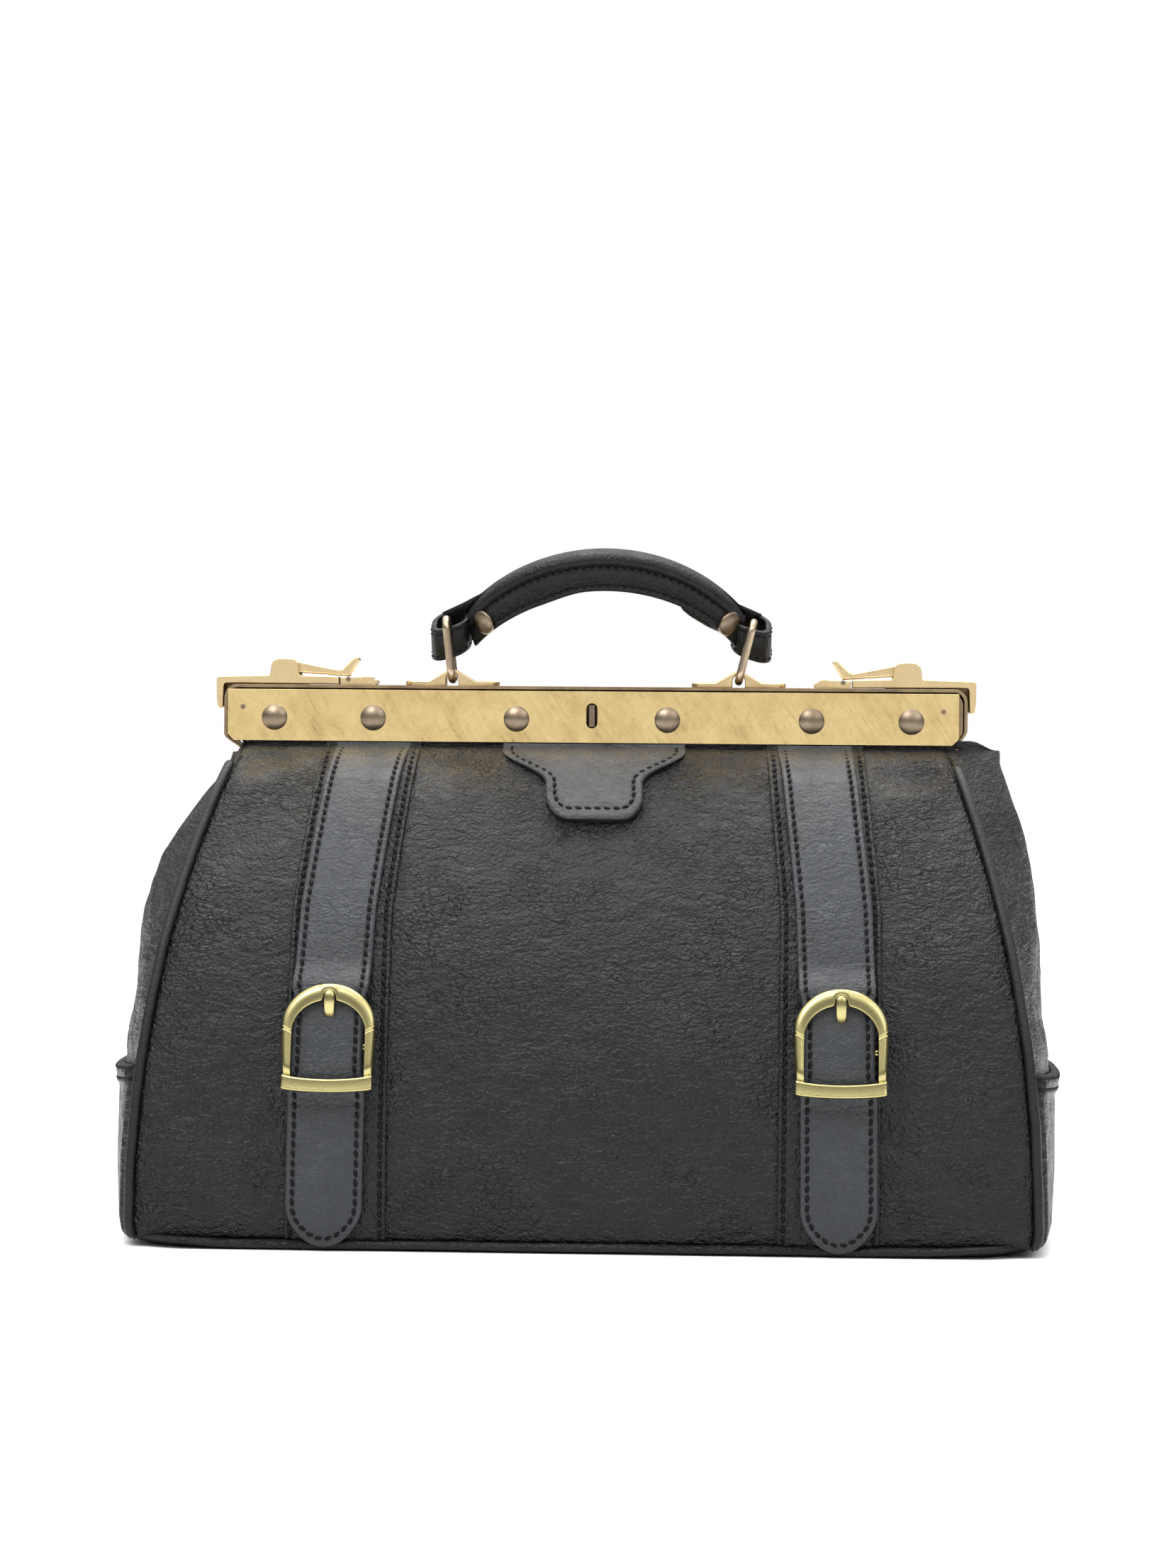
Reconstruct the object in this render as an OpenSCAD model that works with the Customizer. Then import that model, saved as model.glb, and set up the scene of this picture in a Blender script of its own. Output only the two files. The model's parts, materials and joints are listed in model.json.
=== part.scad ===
// Leather doctor bag: brass frame in two hinged halves, flip latches, handle on rings, buckled straps.
// Millimetres. +Z up, +X to the right, front at -Y, origin in the middle of the base.

/* [Bag] */
// Half width of the front panel at its widest
panel_half_w = 147.5; // [140:0.5:150]
// How far each side seam leans in over the full height
seam_lean = 25.5; // [20:0.5:28]
// Half depth of the bag at the base
half_depth = 79; // [76:0.5:82]
// Thickness of a leather wall with its stiffening
wall = 2.2; // [1.8:0.1:2.4]
// Height at which the soft upper half starts to move with the frame
fold_z = 105; // [103:1:106]

/* [Frame] */
// Half length of the frame plates
plate_half_w = 124.6; // [124:0.1:125]
// Height of the frame plates
plate_h = 17.5; // [16:0.1:18]
// Top of the frame's upper band
band_top = 184.6; // [184:0.1:185]
// Half depth over both frame plates
frame_half_d = 9; // [8.8:0.1:9.2]
// Diameter of the plate rivet heads
rivet_d = 8.9; // [8:0.1:9.4]
// Sideways place of the front plate on its half of the frame
plate_x = -0.8; // [-0.9:0.1:0.5]
// Height of the frame hinge pins
pivot_z = 105; // [103:1:106]

/* [Handle] */
// Lean of the handle towards the front at rest, in degrees
handle_lean = 28; // [24:1:30]
// Sideways place of the handle's middle
handle_x = 1.6; // [0:0.1:2]
// Distance from the handle's middle to each leather loop
loop_x = 51.6; // [51.5:0.1:52.5]
// Lean of the left ring, in degrees
left_ring_lean = 6.5; // [4:0.5:8]
// Lean of the right ring, in degrees
right_ring_lean = 14; // [11:0.5:15]
// Diameter of the ring wire
ring_wire = 2.7; // [2.4:0.1:2.8]

/* [Straps] */
// Width of the straps
strap_w = 25; // [24:0.5:26]
// Width of the stitched bands under the straps
band_w = 33; // [31:0.5:34]
// Thickness of the straps
strap_t = 2.4; // [2:0.1:2.5]
// Thickness of the bands
band_t = 1.4; // [1:0.1:1.5]
// Height of the middle of the buckles
buckle_z = 69.5; // [68:0.5:71]

/* [Hidden] */
$fn = 48;
leather_black = "#26272a";
brass = "#c9a65c";
antique = "#8d7146";
steel = "#8a8a88";
lining_colour = "#3a3430";

big = 400;
gap = 0.3;

// ---- shape of the leather body -------------------------------------------------------------
neck_z = 164;
neck_half_d = 8;
base_t = 2.4;
rim_z = fold_z;
upper_z = fold_z + 2;
swing_r = 53.3;
free_z = 140;

// half depth of the outer leather at height z
function depth_at(z) = z >= neck_z ? neck_half_d
    : neck_half_d + (half_depth - neck_half_d) * pow(1 - pow(max(z, 0) / neck_z, 2.4), 0.714);
// the part that swings stays inside the radius that clears the lower walls
function upper_depth_at(z) = z > free_z ? depth_at(z)
    : min(depth_at(z), sqrt(pow(swing_r, 2) - pow(z - pivot_z, 2)));
// half width of the front panel at height z
function seam_at(z) = panel_half_w - seam_lean * pow(max(z, 0) / 160, 2.2);
// half width of the gussets at mid depth
gusset_z = [0, 9, 26, 45, 62, 68, 75, 88, 100, 109, 117, 126, 135, 143, 149, 157];
gusset_x = [153.7, 157, 158.1, 158.3, 158, 156.1, 155, 154.3, 153, 152.2, 150.8, 148.5, 145.3, 141.7, 138, 133];
function gusset_at(z) = lookup(z, [for (i = [0 : len(gusset_z) - 1]) [gusset_z[i], gusset_x[i]]]);
// half width of the gusset at depth y, between two seams at +-ys
function gusset_curve(xs, xm, ys, y) = xs + (xm - xs) * (1 - pow(min(1, abs(y) / ys), 2.2));

// list of heights from a to b in n steps
function steps(a, b, n) = [for (i = [0 : n]) a + (b - a) * i / n];
function reversed(v) = [for (i = [len(v) - 1 : -1 : 0]) v[i]];

lower_zs = concat([base_t + 0.1], steps(12, 96, 7), [rim_z]);
upper_zs = steps(upper_z, 160, 8);
clamp_top = band_top - 3.1;

// shell that follows the lower front wall, from d0 to d1 outside it, in (y, z)
module lower_profile(zs, d0, d1) {
    polygon(concat(
        [for (z = zs) [-(depth_at(z) + d1), z]],
        reversed([for (z = zs) [-(depth_at(z) + d0), z]])));
}

// the same for the upper wall
module upper_profile(zs, d0, d1) {
    polygon(concat(
        [for (z = zs) [-(upper_depth_at(z) + d1), z]],
        reversed([for (z = zs) [-(upper_depth_at(z) + d0), z]])));
}

// stands a profile drawn in (y, z) up and stretches it along X
module along_x(x0, x1) {
    translate([x0, 0, 0]) rotate([90, 0, 90]) linear_extrude(x1 - x0) children();
}

// stands an outline drawn in (x, z) up and stretches it along Y from y0 to y1
module along_y(y0, y1) {
    translate([0, y1, 0]) rotate([90, 0, 0]) linear_extrude(y1 - y0) children();
}

// closed sheet between an outer and an inner grid of points, rows running up
module skin(outer, inner) {
    rows = len(outer);
    cols = len(outer[0]);
    total = rows * cols;
    function at(r, c) = r * cols + c;
    points = concat([for (r = outer) each r], [for (r = inner) each r]);
    outside = [for (r = [0 : rows - 2], c = [0 : cols - 2])
        each [[at(r, c), at(r, c + 1), at(r + 1, c + 1)], [at(r, c), at(r + 1, c + 1), at(r + 1, c)]]];
    inside = [for (f = outside) [total + f[0], total + f[2], total + f[1]]];
    foot = [for (c = [0 : cols - 2]) each
        [[at(0, c), total + at(0, c), total + at(0, c + 1)], [at(0, c), total + at(0, c + 1), at(0, c + 1)]]];
    top = [for (c = [0 : cols - 2]) let (r = rows - 1) each
        [[at(r, c), at(r, c + 1), total + at(r, c + 1)], [at(r, c), total + at(r, c + 1), total + at(r, c)]]];
    start = [for (r = [0 : rows - 2]) each
        [[at(r, 0), at(r + 1, 0), total + at(r + 1, 0)], [at(r, 0), total + at(r + 1, 0), total + at(r, 0)]]];
    finish = [for (r = [0 : rows - 2]) let (c = cols - 1) each
        [[at(r, c), total + at(r, c), total + at(r + 1, c)], [at(r, c), total + at(r + 1, c), at(r + 1, c)]]];
    polyhedron(points, concat(outside, inside, foot, top, start, finish));
}

module mirror_x() {
    mirror([1, 0, 0]) children();
}

module mirror_y() {
    mirror([0, 1, 0]) children();
}

// ---- lower body ----------------------------------------------------------------------------
base_lip = 2;
base_corner_r = 14;
base_half_w = 156;

// rectangle with round corners, centred
module round_rect(w, d, r) {
    square([w - 2 * r, d], center = true);
    square([w, d - 2 * r], center = true);
    for (sx = [-1, 1], sy = [-1, 1]) translate([sx * (w / 2 - r), sy * (d / 2 - r)]) circle(r);
}

module base_panel() {
    color(leather_black) linear_extrude(base_t)
        round_rect(2 * base_half_w, 2 * (half_depth + base_lip), base_corner_r);
}

board_t = 3;
board_inset = 7;

module base_board() {
    color(lining_colour) translate([0, 0, base_t + 0.1]) linear_extrude(board_t)
        round_rect(2 * (panel_half_w - board_inset), 2 * (half_depth - board_inset), base_corner_r);
}

end_top = 53;
end_half_d = 60;
end_t = 2.1;

module base_end() {
    zs = concat([base_t + 0.1], steps(9, end_top, 4));
    ys = steps(-end_half_d, end_half_d, 10);
    function x_at(y, z) = gusset_curve(seam_at(z), gusset_at(z), depth_at(z), y);
    skin([for (z = zs) [for (y = ys) [x_at(y, z) + gap + end_t, y, z]]],
        [for (z = zs) [for (y = ys) [x_at(y, z) + gap, y, z]]]);
}

module left_base_end() { color(leather_black) mirror_x() base_end(); }
module right_base_end() { color(leather_black) base_end(); }

// outline of the front panel between two heights, in (x, z)
module panel_outline(zs) {
    polygon(concat([for (z = zs) [seam_at(z), z]], reversed([for (z = zs) [-seam_at(z), z]])));
}

module panel_lower() {
    intersection() {
        along_x(-big / 2, big / 2) lower_profile(lower_zs, -wall, 0);
        along_y(-big / 2, 0) panel_outline(lower_zs);
    }
}

module front_panel_lower() { color(leather_black) panel_lower(); }
module back_panel_lower() { color(leather_black) mirror_y() panel_lower(); }

module gusset_lower() {
    zs = lower_zs;
    turns = steps(-1, 1, 10);
    function half(z) = depth_at(z) - wall - 0.1;
    function x_at(t, z) = gusset_curve(seam_at(z), gusset_at(z), half(z), t * half(z));
    skin([for (z = zs) [for (t = turns) [x_at(t, z), t * half(z), z]]],
        [for (z = zs) [for (t = turns) [x_at(t, z) - wall, t * (half(z)), z]]]);
}

module left_gusset_lower() { color(leather_black) mirror_x() gusset_lower(); }
module right_gusset_lower() { color(leather_black) gusset_lower(); }

lining_t = 1;
lining_top = 100;

// closed ring of points round the inside of the body at height z
function lining_ring(z, inset) =
    let (ys = depth_at(z) - wall - gap - inset, xs = seam_at(z) - wall - gap - inset,
        xm = gusset_at(z) - wall - gap - inset, ts = steps(-1, 1, 8))
    concat([for (t = ts) [gusset_curve(xs, xm, ys, t * ys), t * ys, z]],
        [for (t = reversed(ts)) [-gusset_curve(xs, xm, ys, t * ys), t * ys, z]]);

module loft(rings) {
    n = len(rings[0]);
    last = len(rings) - 1;
    sides = [for (r = [0 : last - 1], i = [0 : n - 1]) let (j = (i + 1) % n)
        each [[r * n + i, (r + 1) * n + i, (r + 1) * n + j], [r * n + i, (r + 1) * n + j, r * n + j]]];
    polyhedron([for (r = rings) each r],
        concat([[for (i = [0 : n - 1]) i]], sides, [[for (i = [n - 1 : -1 : 0]) last * n + i]]));
}

module lining() {
    foot = base_t + board_t + gap;
    zs = concat([foot], steps(25, lining_top, 3));
    inner_zs = concat([foot + lining_t], steps(25, lining_top + 1, 3));
    color(lining_colour) difference() {
        loft([for (z = zs) lining_ring(z, 0)]);
        loft([for (z = inner_zs) lining_ring(z, lining_t)]);
    }
}

// ---- piping --------------------------------------------------------------------------------
piping_r = 1.5;

// eight-sided tube through a list of points that climbs
module tube(path, r) {
    sides = 8;
    rings = [for (p = path) [for (i = [0 : sides - 1]) p + r * [cos(i * 360 / sides), sin(i * 360 / sides), 0]]];
    loft(rings);
}

module piping(zs, inset) {
    for (s = [-1, 1]) tube([for (z = zs) [s * (seam_at(z) + piping_r), -(depth_at(z) - inset), z]], piping_r);
}

// thinner piping of the swinging halves, which starts where it clears the lower gussets
upper_piping_r = 1.1;
upper_piping_foot = 117;
module upper_piping() {
    zs = steps(upper_piping_foot, 160, 7);
    for (s = [-1, 1])
        tube([for (z = zs) [s * (seam_at(z) + upper_piping_r + 0.2), -(upper_depth_at(z) + 0.2), z]], upper_piping_r);
}

module front_piping_lower() { color("#151517") piping(lower_zs, 1.0); }
module back_piping_lower() { color("#151517") mirror_y() piping(lower_zs, 1.0); }
module front_piping_upper() { color("#151517") upper_piping(); }
module back_piping_upper() { color("#151517") mirror_y() upper_piping(); }

// ---- bands, straps, tab --------------------------------------------------------------------
strap_top_x = 75;
strap_mid_x = 81;
buckle_x = 82.5;
tip_x = 83;
tip_z = 2.6;
strap_neck = 22.4;
neck_half_h = 20;
plate_bottom = band_top - 1.7 - plate_h;
front_top = plate_bottom - 0.3;

// middle line of the strap at height z
function strap_x(z) = lookup(z, [[0, tip_x], [buckle_z, buckle_x], [110, strap_mid_x], [front_top, strap_top_x]]);
function band_x(z) = lookup(z, [[0, 79.5], [110, 80], [front_top, 75]]);

// outline of the strap between heights a and b, narrower where it goes through the buckle
module strap_outline(a, b) {
    marks = [for (z = concat([a], [for (m = [buckle_z - neck_half_h - 3, buckle_z - neck_half_h,
        buckle_z + neck_half_h, buckle_z + neck_half_h + 3, 110, 140]) if (m > a && m < b) m], [b])) z];
    function half(z) = (abs(z - buckle_z) <= neck_half_h ? strap_neck : strap_w) / 2;
    polygon(concat([for (z = marks) [strap_x(z) + half(z), z]],
        reversed([for (z = marks) [strap_x(z) - half(z), z]])));
}

module band_outline(a, b) {
    marks = concat([a], [for (m = [110]) if (m > a && m < b) m], [b]);
    polygon(concat([for (z = marks) [band_x(z) + band_w / 2, z]],
        reversed([for (z = marks) [band_x(z) - band_w / 2, z]])));
}

band_zs = concat([base_t + 0.2], steps(12, 96, 7), [rim_z]);
strap_zs = [tip_z, 12, 24, 36, 49, 56, 65, 74, 83, 90, 97, rim_z];
// how far the strap stands off the band to pass over the buckle's heel bar
heel_room = 3.8;
function strap_lift(z) = lookup(z, [[49, 0], [56, heel_room], [83, heel_room], [90, 0]]);
top_zs = concat(upper_zs, [neck_z]);

module band_lower() {
    intersection() {
        along_x(0, big / 2) lower_profile(band_zs, 0.05, band_t);
        along_y(-big / 2, 0) band_outline(band_zs[0], rim_z);
    }
}

module strap_lower_profile() {
    polygon(concat(
        [for (z = strap_zs) [-(depth_at(z) + strap_lift(z) + band_t + strap_t), z]],
        reversed([for (z = strap_zs) [-(depth_at(z) + strap_lift(z) + band_t + 0.1), z]])));
}

module strap_lower() {
    hole_w = 4.4;
    hole_h = 9;
    difference() {
        intersection() {
            along_x(0, big / 2) strap_lower_profile();
            along_y(-big / 2, 0) union() {
                strap_outline(tip_z + strap_w / 2, rim_z);
                translate([tip_x, tip_z + strap_w / 2]) circle(strap_w / 2);
            }
        }
        // hole for the prong
        along_y(-big / 2, 0) translate([buckle_x, buckle_z + 6]) round_rect(hole_w, hole_h, hole_w / 2 - 0.01);
    }
}

module band_upper() {
    intersection() {
        along_x(0, big / 2) upper_profile(top_zs, 0.05, band_t);
        along_y(-big / 2, 0) band_outline(upper_z, front_top);
    }
}

module strap_upper() {
    intersection() {
        along_x(0, big / 2) upper_profile(top_zs, band_t + 0.1, band_t + strap_t);
        along_y(-big / 2, 0) strap_outline(upper_z, front_top);
    }
}

module left_band_lower() { color(leather_black) mirror_x() band_lower(); }
module right_band_lower() { color(leather_black) band_lower(); }
module left_strap_lower() { color(leather_black) mirror_x() strap_lower(); }
module right_strap_lower() { color(leather_black) strap_lower(); }
module left_band_upper() { color(leather_black) mirror_x() band_upper(); }
module right_band_upper() { color(leather_black) band_upper(); }
module left_strap_upper() { color(leather_black) mirror_x() strap_upper(); }
module right_strap_upper() { color(leather_black) strap_upper(); }

tab_half_w = 31;
tab_neck = 16;
tab_foot = 138.5;
tab_shoulder_r = 11;

// tab with hollow shoulders and a round foot, in (x, z)
module tab_outline() {
    shoulder_z = front_top - 3.5;
    difference() {
        union() {
            translate([-tab_half_w, shoulder_z - tab_shoulder_r])
                square([2 * tab_half_w, front_top - shoulder_z + tab_shoulder_r]);
            translate([-tab_neck, tab_foot + 8]) square([2 * tab_neck, front_top - tab_foot - 8]);
            translate([-tab_neck + 8, tab_foot]) square([2 * tab_neck - 16, 20]);
            for (s = [-1, 1]) translate([s * (tab_neck - 8), tab_foot + 8]) circle(8);
        }
        for (s = [-1, 1]) {
            translate([s * (tab_neck + tab_shoulder_r), shoulder_z - tab_shoulder_r]) circle(tab_shoulder_r);
            translate([s > 0 ? tab_neck + tab_shoulder_r : -tab_half_w - 1, shoulder_z - tab_shoulder_r - 1])
                square([tab_half_w - tab_neck - tab_shoulder_r + 1, tab_shoulder_r + 1]);
        }
    }
}

module centre_tab() {
    color(leather_black) intersection() {
        along_x(-big / 2, big / 2) upper_profile(top_zs, 0.1, 3);
        along_y(-big / 2, 0) tab_outline();
    }
}

// ---- upper body ----------------------------------------------------------------------------
clamp_in = 6.5;
clamp_out = 7.9;

module panel_upper() {
    intersection() {
        along_x(-big / 2, big / 2) polygon(concat(
            [for (z = top_zs) [-upper_depth_at(z), z]],
            [[-clamp_out, neck_z + 1], [-clamp_out, clamp_top], [-clamp_in, clamp_top], [-clamp_in, neck_z - 1]],
            reversed([for (z = upper_zs) [-(upper_depth_at(z) - wall), z]])));
        along_y(-big / 2, 0) panel_outline(concat(upper_zs, [clamp_top + 5]));
    }
}

module front_panel_upper() {
    color(leather_black) difference() {
        panel_upper();
        on_front() {
            slot_cutter();
            rivet_holes();
        }
    }
}

module back_panel_upper() {
    color(leather_black) difference() {
        mirror_y() panel_upper();
        mirror_y() rivet_holes();
    }
}

gusset_clear_x = 149.6;

// front right quarter of the upper gussets
module gusset_quarter() {
    zs = steps(upper_z, 157, 7);
    turns = steps(0, 1, 6);
    function near(z) = 0.5;
    function far(z) = upper_depth_at(z) - wall - 0.1;
    function y_at(t, z) = -(near(z) + (far(z) - near(z)) * t);
    function x_at(t, z) = gusset_curve(seam_at(z), min(gusset_at(z), gusset_clear_x), far(z), y_at(t, z));
    skin([for (z = zs) [for (t = reversed(turns)) [x_at(t, z), y_at(t, z), z]]],
        [for (z = zs) [for (t = reversed(turns)) [x_at(t, z) - wall, y_at(t, z), z]]]);
}

module front_left_gusset() { color(leather_black) mirror_x() gusset_quarter(); }
module front_right_gusset() { color(leather_black) gusset_quarter(); }
module back_left_gusset() { color(leather_black) mirror_x() mirror_y() gusset_quarter(); }
module back_right_gusset() { color(leather_black) mirror_y() gusset_quarter(); }

// ---- frame ---------------------------------------------------------------------------------
plate_t = 1;
sheet_t = 1.1;
plate_top = band_top - 1.7;
rivet_z = (plate_top + plate_bottom) / 2 - 0.8;
rivet_x = [25.7, 74.7, 108.5];
rivet_shank_r = 1.6;
tack_x = 119.4;
tack_z = plate_top - 6;
slot_w = 3.8;
slot_h = 8.6;
slot_z = plate_bottom + 9.2;
flange_out = 6.4;
flange_in = 5.3;
pin_r = 2;
pin_gap = 0.05;

module plate_outline() {
    chamfer = 2.2;
    polygon([[-plate_half_w, plate_top], [plate_half_w, plate_top], [plate_half_w, plate_bottom + chamfer],
        [plate_half_w - chamfer, plate_bottom], [-plate_half_w + chamfer, plate_bottom],
        [-plate_half_w, plate_bottom + chamfer]]);
}

// upright slot in the middle of the front half
module slot_cutter() {
    along_y(-20, 0) translate([0, slot_z]) {
        square([slot_w, slot_h - slot_w], center = true);
        for (s = [-1, 1]) translate([0, s * (slot_h - slot_w) / 2]) circle(slot_w / 2);
    }
}

module rivet_holes() {
    for (x = rivet_x, s = [-1, 1]) along_y(-20, 0) translate([s * x, rivet_z]) circle(rivet_shank_r);
}

module plate() {
    difference() {
        along_y(-frame_half_d, -frame_half_d + plate_t) plate_outline();
        rivet_holes();
        for (s = [-1, 1]) along_y(-20, 0) translate([s * tack_x, tack_z]) circle(0.8);
    }
}

// what goes with the front plate, which sits a little off the middle
module on_front() { translate([plate_x, 0, 0]) children(); }

module front_plate() {
    color(brass) on_front() difference() {
        plate();
        slot_cutter();
    }
}

module back_plate() { color(brass) mirror_y() plate(); }

// rivet along Y with a domed head outside and a flat one inside
module rivet() {
    head_h = 1.5;
    dome_r = (pow(rivet_d / 2, 2) + pow(head_h, 2)) / (2 * head_h);
    rotate([90, 0, 0]) {
        cylinder(h = frame_half_d - flange_in + 0.8, r = rivet_shank_r);
        translate([0, 0, frame_half_d - flange_in + 0.8]) intersection() {
            translate([0, 0, head_h - dome_r]) sphere(dome_r);
            cylinder(h = head_h + 1, r = rivet_d / 2);
        }
        cylinder(h = 0.8, r = 3);
    }
}

module rivet_row() {
    for (x = rivet_x, s = [-1, 1]) translate([s * x, -(flange_in - 0.8), rivet_z]) rivet();
    for (s = [-1, 1]) translate([s * tack_x, -(frame_half_d - plate_t), tack_z])
        rotate([90, 0, 0]) cylinder(h = plate_t + 0.25, r = 0.8);
}

module front_rivets() { color(antique) on_front() rivet_row(); }
module back_rivets() { color(antique) mirror_y() rivet_row(); }

// upside-down U with round upper corners, in (x, z)
module bow_outline(half_w, top, r) {
    translate([-half_w, 0]) square([2 * half_w, top - r]);
    translate([-half_w + r, top - r - 1]) square([2 * (half_w - r), r + 1]);
    for (s = [-1, 1]) translate([s * (half_w - r), top - r]) circle(r);
}

module bow(half_w, top, r) {
    along_y(-20, 20) difference() {
        bow_outline(half_w, top, r);
        bow_outline(half_w - sheet_t, top - sheet_t, r - sheet_t);
    }
}

// side view that trims a bow: wide at the top, down to a round eye at the pivot, in (y, z)
module bow_side(y0, y1, neck) {
    eye_r = 5.5;
    translate([0, pivot_z]) circle(eye_r);
    polygon([[-eye_r, pivot_z], [eye_r, pivot_z], [y1, neck], [y1, 200], [y0, 200], [y0, neck]]);
}

front_bow_half_w = 125.3;
back_bow_half_w = 126.8;
bow_under = 1.9;

module front_bow() {
    color(brass) difference() {
        union() {
            intersection() {
                bow(front_bow_half_w, band_top - bow_under, 3.5);
                along_x(-big / 2, big / 2) bow_side(-flange_out, -1.5, 150);
            }
            along_y(-flange_out, -flange_in) translate([-front_bow_half_w + 1, plate_bottom])
                square([2 * front_bow_half_w - 2, band_top - bow_under - plate_bottom - 0.5]);
        }
        on_front() {
            slot_cutter();
            rivet_holes();
        }
        pin_holes(pin_r + pin_gap);
    }
}

module back_bow() {
    color(brass) difference() {
        union() {
            intersection() {
                bow(back_bow_half_w, band_top, 4.6);
                along_x(-big / 2, big / 2) bow_side(-7.5, frame_half_d, 160);
            }
            along_y(flange_in, flange_out) translate([-back_bow_half_w + 1, plate_bottom])
                square([2 * back_bow_half_w - 2, band_top - plate_bottom - 0.5]);
        }
        mirror_y() rivet_holes();
        pin_holes(pin_r);
    }
}

module pin_holes(r) {
    along_x(-big / 2, big / 2) translate([0, pivot_z]) circle(r);
}

// hinge pins, fast in the back bow, running in the front bow
module frame_hinge_pins() {
    inner = front_bow_half_w - sheet_t - 0.4;
    color(steel) for (s = [0, 1]) mirror([s, 0, 0]) {
        along_x(inner, back_bow_half_w + 0.2) translate([0, pivot_z]) circle(pin_r);
        along_x(back_bow_half_w, back_bow_half_w + 1.2) translate([0, pivot_z]) circle(3.4);
        along_x(inner - 1, inner) translate([0, pivot_z]) circle(3.2);
    }
}

tongue_half_w = 0.95;

// flat tongue that lines the closed halves up
module alignment_tongue() {
    h = slot_h - 1.2;
    color(antique) on_front() along_x(-tongue_half_w, tongue_half_w)
        translate([-frame_half_d + 1.2, slot_z - h / 2]) square([frame_half_d - 1.2 + flange_in, h]);
}

// ---- latches, drawn for the right end ------------------------------------------------------
latch_half_d = 5;
ear_in = 3.3;
arm_pin = [84.6, band_top + 2];
arm_pin_r = 0.8;
arm_bottom = band_top + 0.6;
arm_top = band_top + 3.1;
arm_start = 87.8;
hook_in = 127.2;
hook_out = 129.8;
hook_foot = band_top - 8;
boss = [107.3, band_top + 4.6];
boss_r = 4.5;
lever_pin_z = band_top + 5.1;
lever_pin_r = 1.2;

module latch_base() {
    start = 75.8;
    difference() {
        along_y(-latch_half_d, latch_half_d) {
            translate([start + 1.6, band_top]) square([arm_start - start - 2, 3.2]);
            translate([start, band_top]) square([4, 1.6]);
            translate([start + 1.6, band_top + 1.6]) circle(1.6);
        }
        // room for the arm's knuckle
        translate([arm_pin[0] - 2.6, -ear_in, band_top - 1]) cube([10, 2 * ear_in, 8]);
        along_y(-20, 20) translate(arm_pin) circle(arm_pin_r);
    }
    translate([start + 4, 0, band_top + 3.1]) cylinder(h = 0.8, r = 1.6);
}

module arm_pin_one() {
    along_y(-latch_half_d, latch_half_d) translate(arm_pin) circle(arm_pin_r);
}

module latch_arm() {
    difference() {
        union() {
            along_y(-latch_half_d, latch_half_d) {
                translate([arm_start, arm_bottom]) square([hook_out - arm_start - 1.5, arm_top - arm_bottom]);
                translate([hook_in, hook_foot + 1]) square([hook_out - hook_in, arm_top - hook_foot - 2.5]);
                translate([hook_in + 1.3, hook_foot + 1.3]) circle(1.3);
                translate([hook_out - 1.5, arm_top - 1.5]) circle(1.5);
                translate(boss) circle(boss_r);
                translate([boss[0] - boss_r, arm_bottom]) square([2 * boss_r, boss[1] - arm_bottom]);
            }
            // knuckle on the arm pin
            along_y(-ear_in + gap, ear_in - gap) {
                translate(arm_pin) circle(1.5);
                translate([arm_pin[0], arm_bottom + 0.1]) square([arm_start - arm_pin[0] + 1, 2.2]);
            }
        }
        along_y(-20, 20) translate(arm_pin) circle(arm_pin_r + pin_gap);
        // pocket for the lever between the two cheeks
        translate([boss[0] - 6, -ear_in, arm_bottom + 0.9]) cube([9.6, 2 * ear_in, 20]);
        along_y(-20, 20) translate([boss[0], lever_pin_z]) circle(lever_pin_r);
    }
}

module lever_pin() {
    along_y(-latch_half_d - 0.2, latch_half_d + 0.2) translate([boss[0], lever_pin_z]) circle(lever_pin_r);
}

// lever with an upturned thumb tab, in (x, z) from the band's top
module latch_lever() {
    half_d = ear_in - gap;
    difference() {
        union() {
            along_y(-half_d, half_d) {
                translate([boss[0], lever_pin_z]) circle(3);
                translate([0, band_top]) polygon([[boss[0], 8.1], [96.9, 7.7], [88.3, 6], [85.6, 3.8],
                    [92.8, 4], [102, 4.4], [boss[0], 3.2]]);
            }
            along_y(-latch_half_d + 0.4, latch_half_d - 0.4) translate([0, band_top])
                polygon([[92, 6.75], [88.3, 6], [87.2, 6.7], [83.8, 10], [82.3, 10.3], [81.7, 9.1],
                    [85.3, 3.6], [92, 4]]);
        }
        along_y(-20, 20) translate([boss[0], lever_pin_z]) circle(lever_pin_r + pin_gap);
    }
}

module left_latch_base() { color(brass) mirror_x() latch_base(); }
module right_latch_base() { color(brass) latch_base(); }
module latch_arm_pins() {
    color(antique) {
        arm_pin_one();
        mirror_x() arm_pin_one();
    }
}
module left_latch_arm() { color(brass) mirror_x() latch_arm(); }
module right_latch_arm() { color(brass) latch_arm(); }
module left_lever_pin() { color(antique) mirror_x() lever_pin(); }
module right_lever_pin() { color(antique) lever_pin(); }
module left_latch_lever() { color(brass) mirror_x() latch_lever(); }
module right_latch_lever() { color(brass) latch_lever(); }

// ---- ring mounts and rings -----------------------------------------------------------------
mount_x = 49;
mount_half_w = 16.1;
mount_half_d = 3.7;
tunnel_r = 2.15;
tunnel_z = band_top + 2.3;
ring_h = 20.7;
ring_half_d = 5.6;
ring_corner = 3.5;

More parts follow.
